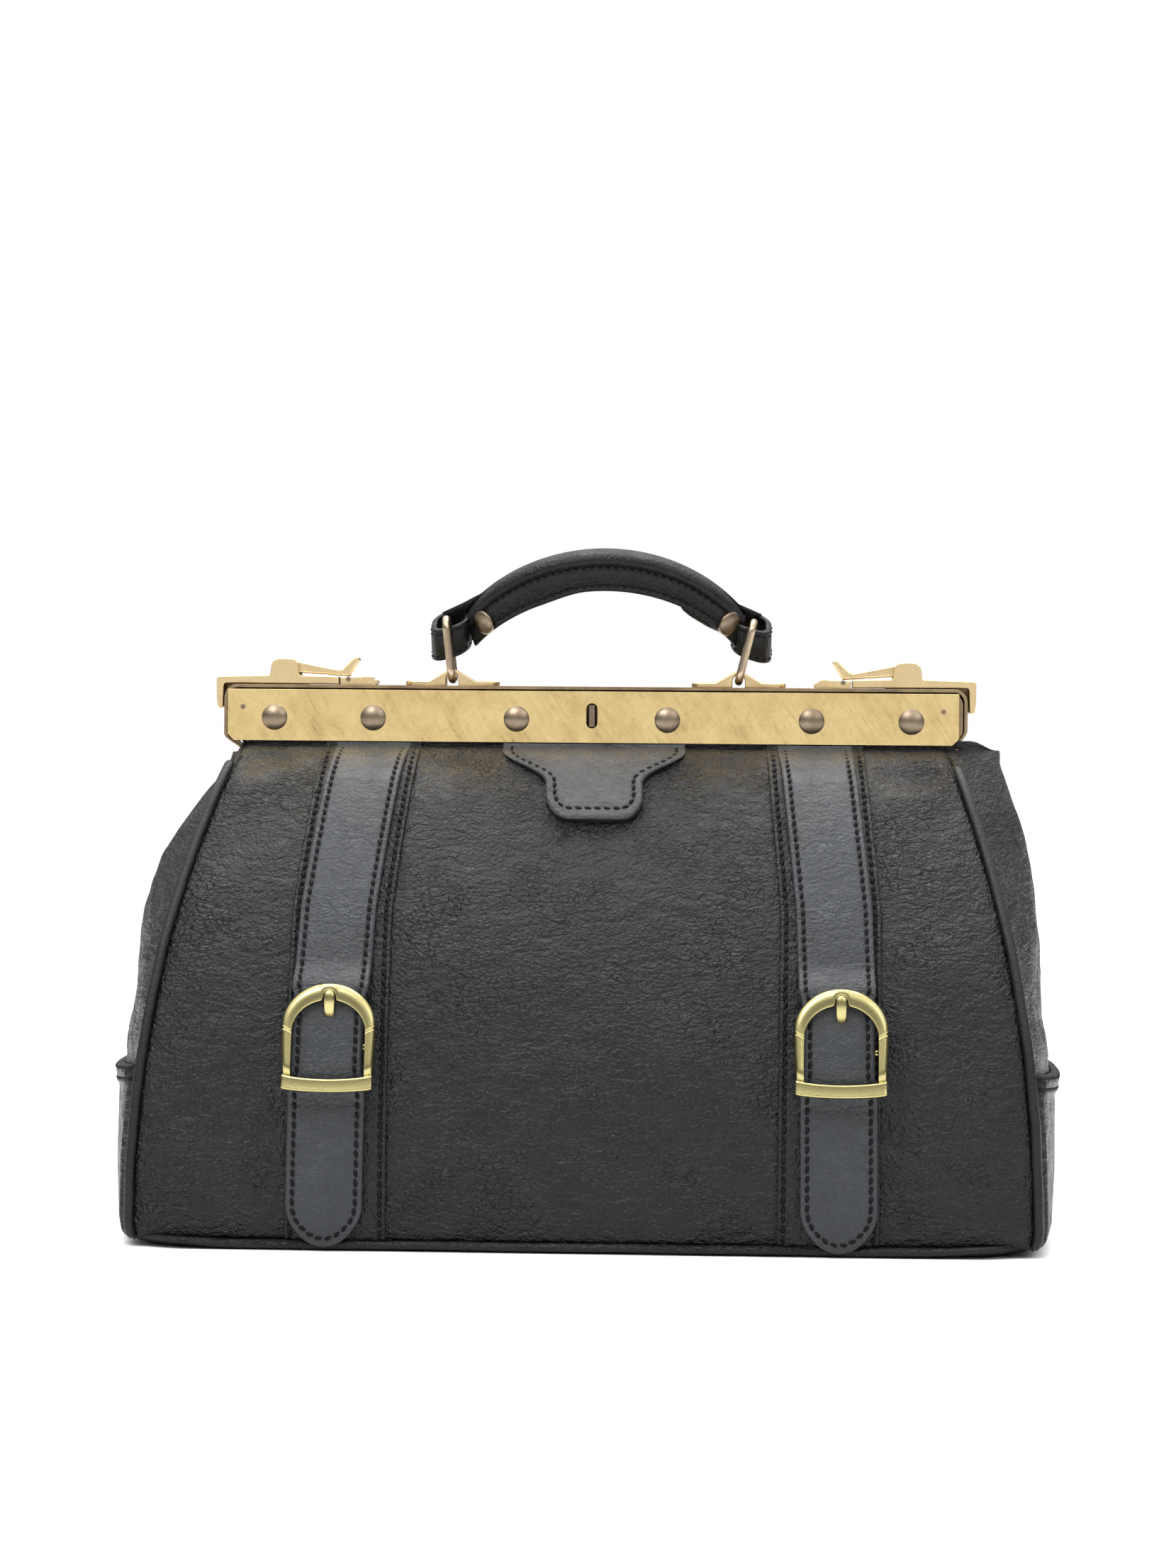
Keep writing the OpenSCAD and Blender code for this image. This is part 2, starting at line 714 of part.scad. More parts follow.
// hat with a round top over the tunnel for the ring, in (x, z) from the band's top
module mount_outline() {
    foot_t = 1.7;
    rise = tunnel_z - band_top;
    outer_r = tunnel_r + 1.3;
    function arc(r, a, b, n) = [for (i = [0 : n]) let (t = a + (b - a) * i / n) [r * cos(t), rise + r * sin(t)]];
    polygon(concat(
        [[mount_half_w, 0], [mount_half_w, foot_t], [8, foot_t]], arc(outer_r, 55, 125, 14),
        [[-8, foot_t], [-mount_half_w, foot_t], [-mount_half_w, 0], [-tunnel_r, 0]],
        arc(tunnel_r, 180, 0, 20), [[tunnel_r, 0]]));
}

module ring_mount() {
    end_r = 4;
    intersection() {
        translate([0, 0, band_top]) along_y(-mount_half_d, mount_half_d) mount_outline();
        translate([0, 0, band_top - 1]) linear_extrude(20) {
            square([2 * (mount_half_w - end_r), 20], center = true);
            for (s = [-1, 1]) translate([s * (mount_half_w - end_r), 0]) circle(end_r);
        }
    }
}

module left_ring_mount() { color(brass) translate([-mount_x, 0, 0]) ring_mount(); }
module right_ring_mount() { color(brass) translate([mount_x, 0, 0]) ring_mount(); }

// rectangular wire ring in the YZ plane, its lower bar on the origin
module ring() {
    r = ring_wire / 2;
    flat = ring_half_d - ring_corner;
    tall = ring_h - 2 * ring_corner;
    for (z = [0, ring_h]) translate([0, -flat, z]) rotate([-90, 0, 0]) cylinder(h = 2 * flat, r = r);
    for (s = [-1, 1]) translate([0, s * ring_half_d, ring_corner]) cylinder(h = tall, r = r);
    for (s = [0, 1], e = [0, 1]) translate([0, 0, ring_h / 2]) mirror([0, s, 0]) mirror([0, 0, e])
        translate([0, flat, ring_h / 2 - ring_corner]) rotate([90, 0, 90])
            rotate_extrude(angle = 90) translate([ring_corner, 0]) circle(r);
}

module left_ring() {
    color(antique) translate([-mount_x, 0, tunnel_z]) rotate([0, -left_ring_lean, 0]) ring();
}
module right_ring() {
    color(antique) translate([mount_x, 0, tunnel_z]) rotate([0, right_ring_lean, 0]) ring();
}

// ---- handle, drawn upright about its swing line and then leaned forward --------------------
handle_z = band_top + 14.8;
grip_top = 35.4;
grip_bottom = 20;
grip_outer_r = 61.5;
grip_inner_r = 60.1;
grip_front = 4.5;
grip_back = 3.5;
loop_half_h = 5.6;
loop_t = 2.5;
loop_wall = 2;
loop_back = 14.1;
loop_w = 13.8;
end_rivet_x = 41.4;
end_rivet_v = 8.6;

module leaned() {
    translate([handle_x, 0, handle_z]) rotate([handle_lean, 0, 0]) children();
}

// arched band between two circles, cut slanting at its ends, in (x, v)
module grip_outline(inset) {
    intersection() {
        difference() {
            translate([0, grip_top - grip_outer_r]) circle(grip_outer_r - inset, $fn = 96);
            translate([0, grip_bottom - grip_inner_r]) circle(grip_inner_r + inset, $fn = 96);
        }
        polygon([[-44.3 + inset, -2], [44.3 - inset, -2], [48.6 - inset, 14.4], [40, 50], [-40, 50],
            [-48.6 + inset, 14.4]]);
    }
}

core_inset = 4.5;
core_half_t = 0.8;

module core_shape() {
    along_y(-core_half_t, core_half_t) intersection() {
        grip_outline(core_inset);
        translate([-33, 0]) square([66, 60]);
    }
}

// tongue of the tab inside the grip's end, seen from the front on the right side
module tongue_outline() {
    polygon([[loop_x - 6, -5.4], [loop_x - 2, 5.6], [loop_x - 6, 6], [36, 15.6], [34, 9.8]]);
}

module handle_grip() {
    color(leather_black) leaned() difference() {
        along_y(-grip_front, grip_back) grip_outline(0);
        core_shape();
        for (s = [0, 1]) mirror([s, 0, 0]) {
            along_y(-loop_t / 2, loop_t / 2) tongue_outline();
            along_y(-20, 20) translate([end_rivet_x, end_rivet_v]) circle(1.5);
            // room for the folded loop
            translate([loop_x, (loop_back - loop_t / 2) / 2, -loop_half_h - 0.1]) linear_extrude(2 * loop_half_h + 0.2)
                round_rect(loop_w + 0.2, loop_back + loop_t / 2 + 0.2, 5.6);
        }
    }
}

module handle_core() { color(steel) leaned() core_shape(); }

// loop round the ring, seen along the loop's own axis, in (x, y)
module loop_outline() {
    difference() {
        translate([0, (loop_back - loop_t / 2) / 2]) round_rect(loop_w, loop_back + loop_t / 2, 5.5);
        translate([0, (loop_back - loop_t / 2) / 2])
            round_rect(loop_w - 2 * loop_wall, loop_back + loop_t / 2 - 2 * loop_wall, 2.4);
    }
}

module handle_tab() {
    difference() {
        union() {
            translate([loop_x, 0, -loop_half_h]) linear_extrude(2 * loop_half_h) loop_outline();
            along_y(-loop_t / 2, loop_t / 2) tongue_outline();
            // back layer that runs up behind the grip
            intersection() {
                linear_extrude(60, center = true)
                    polygon([[loop_x - 4, loop_back], [loop_x - 6.5, loop_back - 5], [39.5, 3.6], [29, 3.6],
                        [29, 5.8], [38.5, 5.8]]);
                along_y(0, 20) polygon([[loop_x - 2, -5.4], [loop_x - 2, 5.6], [30, 21], [27.5, 16.5]]);
            }
        }
        along_y(-20, 20) translate([end_rivet_x, end_rivet_v]) circle(1.5);
    }
}

module left_handle_tab() { color(leather_black) leaned() mirror_x() handle_tab(); }
module right_handle_tab() { color(leather_black) leaned() handle_tab(); }

module handle_rivets() {
    color(antique) leaned() for (s = [0, 1]) mirror([s, 0, 0]) {
        along_y(-grip_front - 0.4, 7.4) translate([end_rivet_x, end_rivet_v]) circle(1.5);
        along_y(-grip_front - 1.2, -grip_front) translate([end_rivet_x, end_rivet_v]) circle(4.1);
    }
}

// ---- buckles -------------------------------------------------------------------------------
buckle_w = 29.5;
buckle_h = 35;
buckle_t = 2.6;
buckle_side = 3.2;
buckle_arch = 5.4;
// heel bar: place along the buckle, radius, depth below the buckle's underside
heel_y = -2;
heel_r = 1;
heel_depth = 4.55;
wrap_r = 1.55;
// slope of the wall behind the buckle, and the face that the buckle lies on
buckle_tilt = atan((depth_at(buckle_z - 12) - depth_at(buckle_z + 12)) / 24);
buckle_face = depth_at(buckle_z) + band_t + strap_t + heel_room + 0.55;

// puts a buckle drawn facing +Z, with +Y up, on the right strap
module on_strap() {
    translate([buckle_x, -buckle_face, buckle_z]) rotate([90 - buckle_tilt, 0, 0]) children();
}

// cylinder along X, centred on the heel bar's line
module heel_rod(length, r) {
    translate([-length / 2, heel_y, -heel_depth]) rotate([0, 90, 0]) cylinder(h = length, r = r);
}

// D with a round top and a straight foot, in (x, y)
module d_outline(w, h, r) {
    translate([-w / 2, -h / 2]) square([w, h - r]);
    translate([-w / 2 + r, -h / 2]) square([w - 2 * r, h]);
    for (s = [-1, 1]) translate([s * (w / 2 - r), h / 2 - r]) circle(r);
}

module buckle_frame() {
    opening_w = buckle_w - 2 * buckle_side;
    opening_h = buckle_h - 2 * buckle_arch + 0.4;
    post_w = 2.6;
    post_depth = heel_depth + heel_r;
    notch_w = 4.4;
    difference() {
        union() {
            linear_extrude(buckle_t) difference() {
                d_outline(buckle_w, buckle_h, 12);
                translate([0, -0.1]) d_outline(opening_w, opening_h, 9);
            }
            // posts that carry the hidden heel bar behind the strap
            for (s = [-1, 1]) translate([s * (buckle_w / 2 - post_w / 2) - post_w / 2, heel_y - 2, -post_depth])
                cube([post_w, 4, post_depth + 1]);
            heel_rod(buckle_w - 2, heel_r);
        }
        // notch for the prong's tip
        translate([-notch_w / 2, buckle_h / 2 - buckle_arch - 1, buckle_t - 1.1]) cube([notch_w, buckle_arch - 1.4, 3]);
    }
}

module left_buckle_frame() { color(antique) mirror_x() on_strap() buckle_frame(); }
module right_buckle_frame() { color(antique) on_strap() buckle_frame(); }

prong_w = 3.4;
prong_tip = buckle_h / 2 - 3.2;
prong_top = buckle_t + 0.4;

// flat prong wrapped round the heel bar, that comes out through the strap, in (y, z)
module prong() {
    difference() {
        translate([-prong_w / 2, 0, 0]) rotate([90, 0, 90]) linear_extrude(prong_w) {
            translate([heel_y, -heel_depth]) circle(wrap_r);
            polygon([[heel_y, -heel_depth - 0.6], [heel_y + 6, -heel_depth - 0.6], [heel_y + 8.6, -heel_depth + 1],
                [prong_tip - 4.6, prong_top - 2.6], [prong_tip - 2.9, prong_top - 1.4],
                [prong_tip, prong_top - 1.4], [prong_tip, prong_top],
                [prong_tip - 5, prong_top - 0.7], [heel_y + 5.4, -heel_depth + 0.6], [heel_y, -heel_depth + 0.6]]);
        }
        heel_rod(20, heel_r + pin_gap);
    }
}

module left_prong() { color(brass) mirror_x() on_strap() prong(); }
module right_prong() { color(brass) on_strap() prong(); }

// leather strips that tie the heel bar to the band, one on each side of the prong
module chape() {
    strip_w = 6;
    tail = 10;
    for (s = [-1, 1]) translate([s * (prong_w / 2 + 0.8 + strip_w / 2), 0, 0]) difference() {
        union() {
            heel_rod(strip_w, wrap_r);
            translate([-strip_w / 2, heel_y - tail, -heel_depth - wrap_r]) cube([strip_w, tail, 0.9]);
        }
        heel_rod(strip_w + 2, heel_r + 0.02);
    }
}

module buckle_chapes() {
    color(leather_black) {
        on_strap() chape();
        mirror_x() on_strap() chape();
    }
}

// ---- placement -----------------------------------------------------------------------------
base_panel();
base_board();
left_base_end();
right_base_end();
front_panel_lower();
back_panel_lower();
left_gusset_lower();
right_gusset_lower();
lining();
front_piping_lower();
back_piping_lower();
left_band_lower();
right_band_lower();
left_strap_lower();
right_strap_lower();
buckle_chapes();
left_buckle_frame();
right_buckle_frame();
left_prong();
right_prong();
front_plate();
front_bow();
front_rivets();
front_panel_upper();
front_left_gusset();
front_right_gusset();
front_piping_upper();
left_band_upper();
right_band_upper();
left_strap_upper();
right_strap_upper();
centre_tab();
back_plate();
back_bow();
back_rivets();
alignment_tongue();
frame_hinge_pins();
back_panel_upper();
back_left_gusset();
back_right_gusset();
back_piping_upper();
left_latch_base();
right_latch_base();
latch_arm_pins();
left_latch_arm();
right_latch_arm();
left_lever_pin();
right_lever_pin();
left_latch_lever();
right_latch_lever();
left_ring_mount();
right_ring_mount();
left_ring();
right_ring();
handle_grip();
handle_core();
left_handle_tab();
right_handle_tab();
handle_rivets();
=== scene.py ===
"""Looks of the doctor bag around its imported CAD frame. Lengths in tables and functions are in millimetres."""

import json
import math

import bmesh
import bpy
import numpy as np
from mathutils import Matrix, Vector, noise


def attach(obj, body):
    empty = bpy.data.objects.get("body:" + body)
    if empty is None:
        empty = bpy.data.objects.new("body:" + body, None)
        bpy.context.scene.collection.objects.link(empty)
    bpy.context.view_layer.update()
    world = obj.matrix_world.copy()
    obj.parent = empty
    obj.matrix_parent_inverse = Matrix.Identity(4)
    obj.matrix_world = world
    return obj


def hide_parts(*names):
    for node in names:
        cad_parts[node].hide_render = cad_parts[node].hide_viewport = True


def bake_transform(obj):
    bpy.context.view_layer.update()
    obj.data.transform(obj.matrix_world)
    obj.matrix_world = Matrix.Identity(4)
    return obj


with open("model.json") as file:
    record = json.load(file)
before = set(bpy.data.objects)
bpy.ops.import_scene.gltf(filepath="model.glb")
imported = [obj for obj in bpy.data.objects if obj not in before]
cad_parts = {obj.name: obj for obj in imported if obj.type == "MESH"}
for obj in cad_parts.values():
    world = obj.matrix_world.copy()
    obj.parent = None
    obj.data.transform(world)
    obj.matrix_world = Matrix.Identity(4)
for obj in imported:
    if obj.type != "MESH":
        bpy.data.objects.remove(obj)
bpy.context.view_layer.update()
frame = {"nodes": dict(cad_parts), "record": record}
NODES = frame["nodes"]
MM = 0.001
scene = bpy.context.scene


# ---- shape of the leather body --------------------------------------------------------------
# Depth and seams are the CAD's. The outlines of the gussets, by height, follow the photo.
NECK_Z = 164.0
PLATE_FOOT = 165.4
BLEND_LOW, BLEND_HIGH = 88.0, 164.0
NECK_DEPTH, BELLY_DEPTH = 8, 71
PANEL_HALF = 147.5
GUSSET_Z = [0, 9, 26, 45, 62, 68, 75, 88, 100, 109, 117, 126, 135, 143, 149, 155, 160, 166]
GUSSET_RIGHT = [149.6, 153.3, 154.6, 154.4, 155.6, 154.0, 152.4, 152.5, 151.5, 150.2, 149.2, 147.8, 146.0,
                143.9, 142.2, 140.9, 139.3, 137.4]
GUSSET_LEFT = [151.8, 155.2, 157.0, 157.2, 158.0, 156.3, 155.4, 155.0, 153.7, 152.9, 151.4, 148.0, 142.5,
               136.0, 131.6, 126.2, 122.2, 119.5]


def smooth(t):
    t = np.clip(t, 0, 1)
    return t * t * (3 - 2 * t)


def depth_at(z):
    z = np.clip(z, 0, NECK_Z)
    return NECK_DEPTH + BELLY_DEPTH * np.maximum(1 - (z / NECK_Z) ** 2.4, 0) ** 0.714


def seam_at(z):
    z = np.asarray(z, float)
    return PANEL_HALF - 25.5 * (np.maximum(z, 0) / 160) ** 2.2 - 3 * np.maximum(1 - z / 9, 0) ** 2


def gusset_mid(z, side):
    return np.interp(z, GUSSET_Z, GUSSET_RIGHT if side > 0 else GUSSET_LEFT)


def fractal(p, octaves=3):
    return noise.fractal(Vector(p), 0.9, 2.1, octaves, noise_basis="PERLIN_ORIGINAL")


def fractal_grid(u, v, seed):
    """fractal() at every point of two grids of coordinates."""
    return np.array([fractal((a, b, seed)) for a, b in zip(u.ravel(), v.ravel())]).reshape(u.shape)


def run_length(path):
    """Distance from the first point, at each point of a path."""
    return np.concatenate([[0], np.cumsum(np.linalg.norm(np.diff(path, axis=0), axis=1))])


# ---- materials -----------------------------------------------------------------------------
class Net:
    """Nodes of a new material, or of the world given as owner, wired by short calls."""

    def __init__(self, name, owner=None, **sockets):
        self.owner = owner or bpy.data.materials.new(name)
        self.owner.use_nodes = True
        self.tree = self.owner.node_tree
        self.end = self.tree.nodes["Background" if owner else "Principled BSDF"]
        self.finish(**sockets)

    def set(self, node, inputs):
        for key, value in inputs.items():
            if hasattr(value, "is_output"):
                self.tree.links.new(value, node.inputs[key])
            else:
                node.inputs[key].default_value = value

    def node(self, kind, inputs=None, out=0, **props):
        n = self.tree.nodes.new(kind)
        for k, v in props.items():
            setattr(n, k, v)
        self.set(n, inputs or {})
        return n.outputs[out]

    def mapping(self, vector, scale, turn=(0, 0, 0)):
        return self.node("ShaderNodeMapping", {"Vector": vector, "Scale": scale, "Rotation": turn})

    def coords(self, kind="Object", scale=(100, 100, 100), turn=(0, 0, 0)):
        """The piece's own coordinates; the default is in centimetres."""
        return self.mapping(self.node("ShaderNodeTexCoord", out=kind), scale, turn)

    def noise(self, vector, scale, detail=3.0, rough=0.5, out=0, distortion=0.0):
        return self.node("ShaderNodeTexNoise", {"Vector": vector, "Scale": scale, "Detail": detail,
                                                "Roughness": rough, "Distortion": distortion}, out=out)

    def voronoi(self, vector, scale, feature):
        return self.node("ShaderNodeTexVoronoi", {"Vector": vector, "Scale": scale}, feature=feature)

    def ramp(self, value, low, high, a=0.0, b=1.0, shape="LINEAR"):
        inputs = {"Value": value, "From Min": low, "From Max": high, "To Min": a, "To Max": b}
        return self.node("ShaderNodeMapRange", inputs, interpolation_type=shape)

    def math(self, operation, a, b):
        return self.node("ShaderNodeMath", {0: a, 1: b}, operation=operation)

    def mix(self, factor, a, b):
        return self.node("ShaderNodeMix", {0: factor, 6: a, 7: b}, out=2, data_type="RGBA")

    def warp(self, vector, scale, amount):
        push = self.noise(vector, scale, 2.0, out=1)
        centred = self.node("ShaderNodeVectorMath", {0: push, 1: (0.5, 0.5, 0.5)}, operation="SUBTRACT")
        scaled = self.node("ShaderNodeVectorMath", {0: centred, "Scale": amount}, operation="SCALE")
        return self.node("ShaderNodeVectorMath", {0: vector, 1: scaled}, operation="ADD")

    def bump(self, height, distance, strength=1.0, normal=None):
        inputs = {"Height": height, "Distance": distance, "Strength": strength}
        if normal is not None:
            inputs["Normal"] = normal
        return self.node("ShaderNodeBump", inputs)

    def finish(self, **sockets):
        self.set(self.end, {k.replace("_", " "): v for k, v in sockets.items()})
        return self.owner


def leather(name, dark, light, rough, grain, crease, coords="UV", shine=0.3):
    """Black leather: pebble grain about 0.9 mm wide with painted shade in the valleys between the pebbles,
    creases in patches, slow changes of tone and gloss.
    UVs are in centimetres."""
    n = Net(name, Specular_IOR_Level=shine)
    cm = n.coords("UV", (1, 1, 1)) if coords == "UV" else n.coords()
    bent = n.warp(cm, 2.6, 0.22)
    cells = n.voronoi(bent, 10.5, "SMOOTH_F1")
    pebble = n.ramp(cells, 0.12, 0.62, 1.0, 0.0)
    fine = n.noise(bent, 34.0, 3.0, 0.6)
    stretched = n.mapping(n.warp(cm, 1.1, 0.7), (0.8, 1.5, 1.0), (0, 0, 0.5))
    veins = n.ramp(n.voronoi(stretched, 4.2, "DISTANCE_TO_EDGE"), 0.0, 0.14)
    patches = n.ramp(n.noise(cm, 0.33, 3.0), 0.42, 0.64)
    slow = n.noise(cm, 0.55, 3.0, 0.55)
    tone = n.mix(n.ramp(slow, 0.3, 0.7), (*dark, 1), (*light, 1))
    # painted shade: the colour darkens in the low valleys between the pebbles
    tone = n.mix(n.ramp(pebble, 0.0, 1.0, 0.34, 0.0), tone, (*[c * 0.45 for c in dark], 1))
    height = n.math("ADD", n.math("MULTIPLY", pebble, grain), n.math("MULTIPLY", fine, 0.22))
    height = n.math("ADD", height, n.math("MULTIPLY", n.math("MULTIPLY", veins, patches), crease))
    gloss = n.math("ADD", n.ramp(n.noise(cm, 1.7, 3.0), 0.3, 0.7, rough - 0.09, rough + 0.09),
                   n.ramp(pebble, 0.0, 1.0, 0.09, 0.0))
    # long soft wrinkles of pulled leather, about 4 and 10 mm apart
    pulled = n.mapping(n.warp(cm, 0.8, 0.9), (0.55, 1.5, 1.0), (0, 0, -0.28))
    ridges = n.ramp(n.voronoi(pulled, 2.0, "DISTANCE_TO_EDGE"), 0.0, 0.16)
    folds = n.math("ADD", n.noise(pulled, 1.9, 3.0, 0.6, distortion=0.6),
                   n.math("MULTIPLY", ridges, n.math("MULTIPLY", patches, 0.3)))
    soft = n.bump(n.math("MULTIPLY", folds, crease), 0.0012, 0.8)
    return n.finish(Base_Color=tone, Roughness=gloss, Normal=n.bump(height, 0.00026, 1.0, soft))


def brass(name, light, dark, rough, streak_turn, patina):
    """Aged brass: patina clouds, fine scratches, and brush streaks where the piece is brushed."""
    n = Net(name, Metallic=1.0)
    cm = n.coords()
    clouds = n.ramp(n.noise(cm, 0.9, 5.0, 0.62), 0.38, 0.68)
    spots = n.ramp(n.noise(cm, 7.0, 4.0, 0.7), 0.52, 0.72)
    worn = n.math("ADD", n.math("MULTIPLY", clouds, 0.75), n.math("MULTIPLY", spots, 0.35))
    amount = n.math("MULTIPLY", worn, patina)
    height = n.noise(cm, 26.0, 3.0)
    if streak_turn is not None:
        turned = n.mapping(n.coords(turn=(0, streak_turn, 0)), (0.55, 1.0, 22.0))
        streaks = n.noise(turned, 1.6, 4.0, 0.7)
        broad = n.noise(n.mapping(turned, (1.0, 1.0, 0.16)), 1.3, 4.0, 0.65)
        amount = n.math("ADD", amount, n.math("MULTIPLY", n.ramp(streaks, 0.46, 0.8), 0.34))
        amount = n.math("ADD", amount, n.math("MULTIPLY", n.ramp(broad, 0.5, 0.78), 0.4))
        height = streaks
    tone = n.mix(amount, (*light, 1), (*dark, 1))
    gloss = n.ramp(amount, 0.0, 1.0, rough, rough + 0.17)
    return n.finish(Base_Color=tone, Roughness=gloss, Normal=n.bump(height, 0.00006, 0.55))


LEATHER = leather("leather_grained", (0.0030, 0.0032, 0.0038), (0.0055, 0.0058, 0.0068), 0.34, 0.8, 1.15,
                  shine=0.24)
STRAP = leather("leather_strap", (0.019, 0.0213, 0.024), (0.028, 0.031, 0.035), 0.37, 0.45, 0.6)
HANDLE = leather("leather_handle", (0.0022, 0.0023, 0.0026), (0.0045, 0.0047, 0.0054), 0.33, 0.35, 0.3,
                 shine=0.2)
TAB = leather("leather_tab", (0.038, 0.0395, 0.041), (0.055, 0.057, 0.060), 0.42, 0.5, 1.0)
PIPING = leather("leather_piping", (0.002, 0.002, 0.0024), (0.004, 0.004, 0.0048), 0.38, 0.25, 0.1)
EDGE = leather("leather_edge", (0.004, 0.004, 0.0045), (0.011, 0.0115, 0.0125), 0.5, 0.5, 0.6,
               coords="Object")
PLATE_BRASS = brass("brass_brushed", (0.74, 0.575, 0.275), (0.32, 0.205, 0.08), 0.27, math.radians(-58), 0.62)
CAST_BRASS = brass("brass_cast", (0.72, 0.56, 0.31), (0.40, 0.28, 0.14), 0.27, None, 0.6)
RIVET_BRASS = brass("brass_antique", (0.235, 0.185, 0.13), (0.10, 0.072, 0.048), 0.30, None, 0.8)
RING_BRASS = brass("brass_ring", (0.46, 0.37, 0.26), (0.17, 0.12, 0.08), 0.24, math.radians(90), 0.6)
BUCKLE_BRASS = brass("brass_buckle", (0.42, 0.37, 0.17), (0.24, 0.20, 0.085), 0.19, None, 0.35)
DARK_BRASS = brass("brass_dark", (0.30, 0.22, 0.13), (0.10, 0.07, 0.045), 0.33, 0.0, 0.8)


def thread_material():
    n = Net("thread_waxed", Roughness=0.6, Specular_IOR_Level=0.15)
    cm = n.coords()
    twist = n.noise(cm, 60.0, 2.0)
    return n.finish(Base_Color=n.mix(twist, (0.0008, 0.0008, 0.001, 1), (0.003, 0.003, 0.004, 1)),
                    Normal=n.bump(twist, 0.00012, 0.8))


def fabric_material(name, dark, light):
    n = Net(name, Roughness=0.85, Specular_IOR_Level=0.25)
    cm = n.coords()
    waves = {"Vector": cm, "Scale": 9.0, "Distortion": 0.6}
    warp, weft = (n.node("ShaderNodeTexWave", waves, out=1, bands_direction=axis) for axis in "XZ")
    weave = n.math("MULTIPLY", warp, weft)
    tone = n.mix(n.math("MULTIPLY", n.noise(cm, 1.5, 3.0), weave), (*dark, 1), (*light, 1))
    return n.finish(Base_Color=tone, Normal=n.bump(weave, 0.0002, 0.6))


THREAD = thread_material()
LINING = fabric_material("lining_cloth", (0.02, 0.017, 0.015), (0.09, 0.075, 0.062))


# ---- mesh helpers --------------------------------------------------------------------------
def make(name, verts, faces, mats, uv=None, face_mats=None, is_smooth=True):
    """A new object from points in millimetres. uv is one pair per point, in centimetres."""
    me = bpy.data.meshes.new(name)
    me.from_pydata((np.asarray(verts, float) * MM).tolist(), [], faces)
    if uv is not None:
        index = np.empty(len(me.loops), np.int32)
        me.loops.foreach_get("vertex_index", index)
        me.uv_layers.new(name="UVMap").data.foreach_set("uv", np.asarray(uv, np.float32)[index].ravel())
    for m in mats:
        me.materials.append(m)
    if face_mats is not None:
        me.polygons.foreach_set("material_index", face_mats)
    me.polygons.foreach_set("use_smooth", [is_smooth] * len(me.polygons))
    me.update()
    ob = bpy.data.objects.new(name, me)
    scene.collection.objects.link(ob)
    return ob


def grid_faces(rows, cols, start=0, flip=False, wrap=False):
    out = []
    for r in range(rows - 1):
        low, high = start + r * cols, start + (r + 1) * cols
        for c in range(cols if wrap else cols - 1):
            d = (c + 1) % cols
            f = (low + c, low + d, high + d, high + c)
            out.append(f[::-1] if flip else f)
    return out


def closed_faces(rows, cols, start=0, flip=False):
    """Faces of a solid through rings of points, with both ends capped."""
    first = tuple(range(start, start + cols))
    last = tuple(range(start + (rows - 1) * cols, start + rows * cols))
    caps = [first, last[::-1]] if flip else [first[::-1], last]
    return grid_faces(rows, cols, start, flip, wrap=True) + caps


def grid_normals(p):
    du = np.gradient(p, axis=1)
    dv = np.gradient(p, axis=0)
    n = np.cross(du, dv)
    return n / np.maximum(np.linalg.norm(n, axis=2, keepdims=True), 1e-9)


def grid_uv(p):
    """Arc lengths along the middle row and middle column, in centimetres."""
    rows, cols = p.shape[:2]
    along = np.zeros((rows, cols))
    along[:, 1:] = np.cumsum(np.linalg.norm(np.diff(p, axis=1), axis=2), axis=1)
    along -= along[:, [cols // 2]]
    up = np.zeros((rows, cols))
    up[1:] = np.cumsum(np.linalg.norm(np.diff(p, axis=0), axis=2), axis=0)
    mid = up[:, [cols // 2]]
    return np.stack([along / 10, np.repeat(mid, cols, axis=1) / 10], axis=2)


def thick_grid(name, outer, inner, mats, uv, flip=False):
    """A closed sheet between two grids of points, with a rim round it. mats: outside, rim, inside."""
    rows, cols = outer.shape[:2]
    total = rows * cols
    faces = grid_faces(rows, cols, 0, flip) + grid_faces(rows, cols, total, not flip)
    kinds = [0] * ((rows - 1) * (cols - 1)) + [2 if len(mats) > 2 else 0] * ((rows - 1) * (cols - 1))
    border = list(range(cols)) + [r * cols + cols - 1 for r in range(1, rows)]
    border += [(rows - 1) * cols + c for c in range(cols - 2, -1, -1)]
    border += [r * cols for r in range(rows - 2, 0, -1)]
    for i, a in enumerate(border):
        b = border[(i + 1) % len(border)]
        f = (a, total + a, total + b, b)
        faces.append(f[::-1] if flip else f)
        kinds.append(1 if len(mats) > 1 else 0)
    verts = np.concatenate([outer.reshape(-1, 3), inner.reshape(-1, 3)])
    return make(name, verts, faces, mats, np.concatenate([uv.reshape(-1, 2)] * 2), kinds)


def blend_weights(ob):
    """Bakes ob's transform into its points and works out bend weights towards one frame half: more with height,
    and none on the centre line of the gussets. The weights are not applied."""
    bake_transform(ob)
    co = np.empty(len(ob.data.vertices) * 3)
    ob.data.vertices.foreach_get("co", co)
    co = co.reshape(-1, 3) / MM
    reach = np.maximum(depth_at(co[:, 2]) - 4, 3)
    w = smooth((co[:, 2] - BLEND_LOW) / (BLEND_HIGH - BLEND_LOW)) * smooth(np.abs(co[:, 1]) / reach)


# ---- the two leather halves ----------------------------------------------------------------
# beside a seam: distance from it, and how far the leather swells outward there
EDGE_STEPS = [(1.5, 2.6), (1.5, 1.9), (1.7, 1.2), (2.2, 0.6), (3.0, 0.22), (4.2, 0.06), (5.8, 0), (7.8, 0),
              (10.0, 0)]
STRAP_W, BAND_W, STRAP_T, BAND_T = 25.0, 33.0, 2.4, 1.4
LEATHER_T, LINING_FRONT, LINING_BACK = 1.7, 1.95, 2.5


def strap_x(z):
    return np.interp(z, [0, 69.5, 110, 165.1], [83, 82.5, 81, 75])


def band_x(z):
    return np.interp(z, [0, 110, 165.1], [79.5, 80, 75])


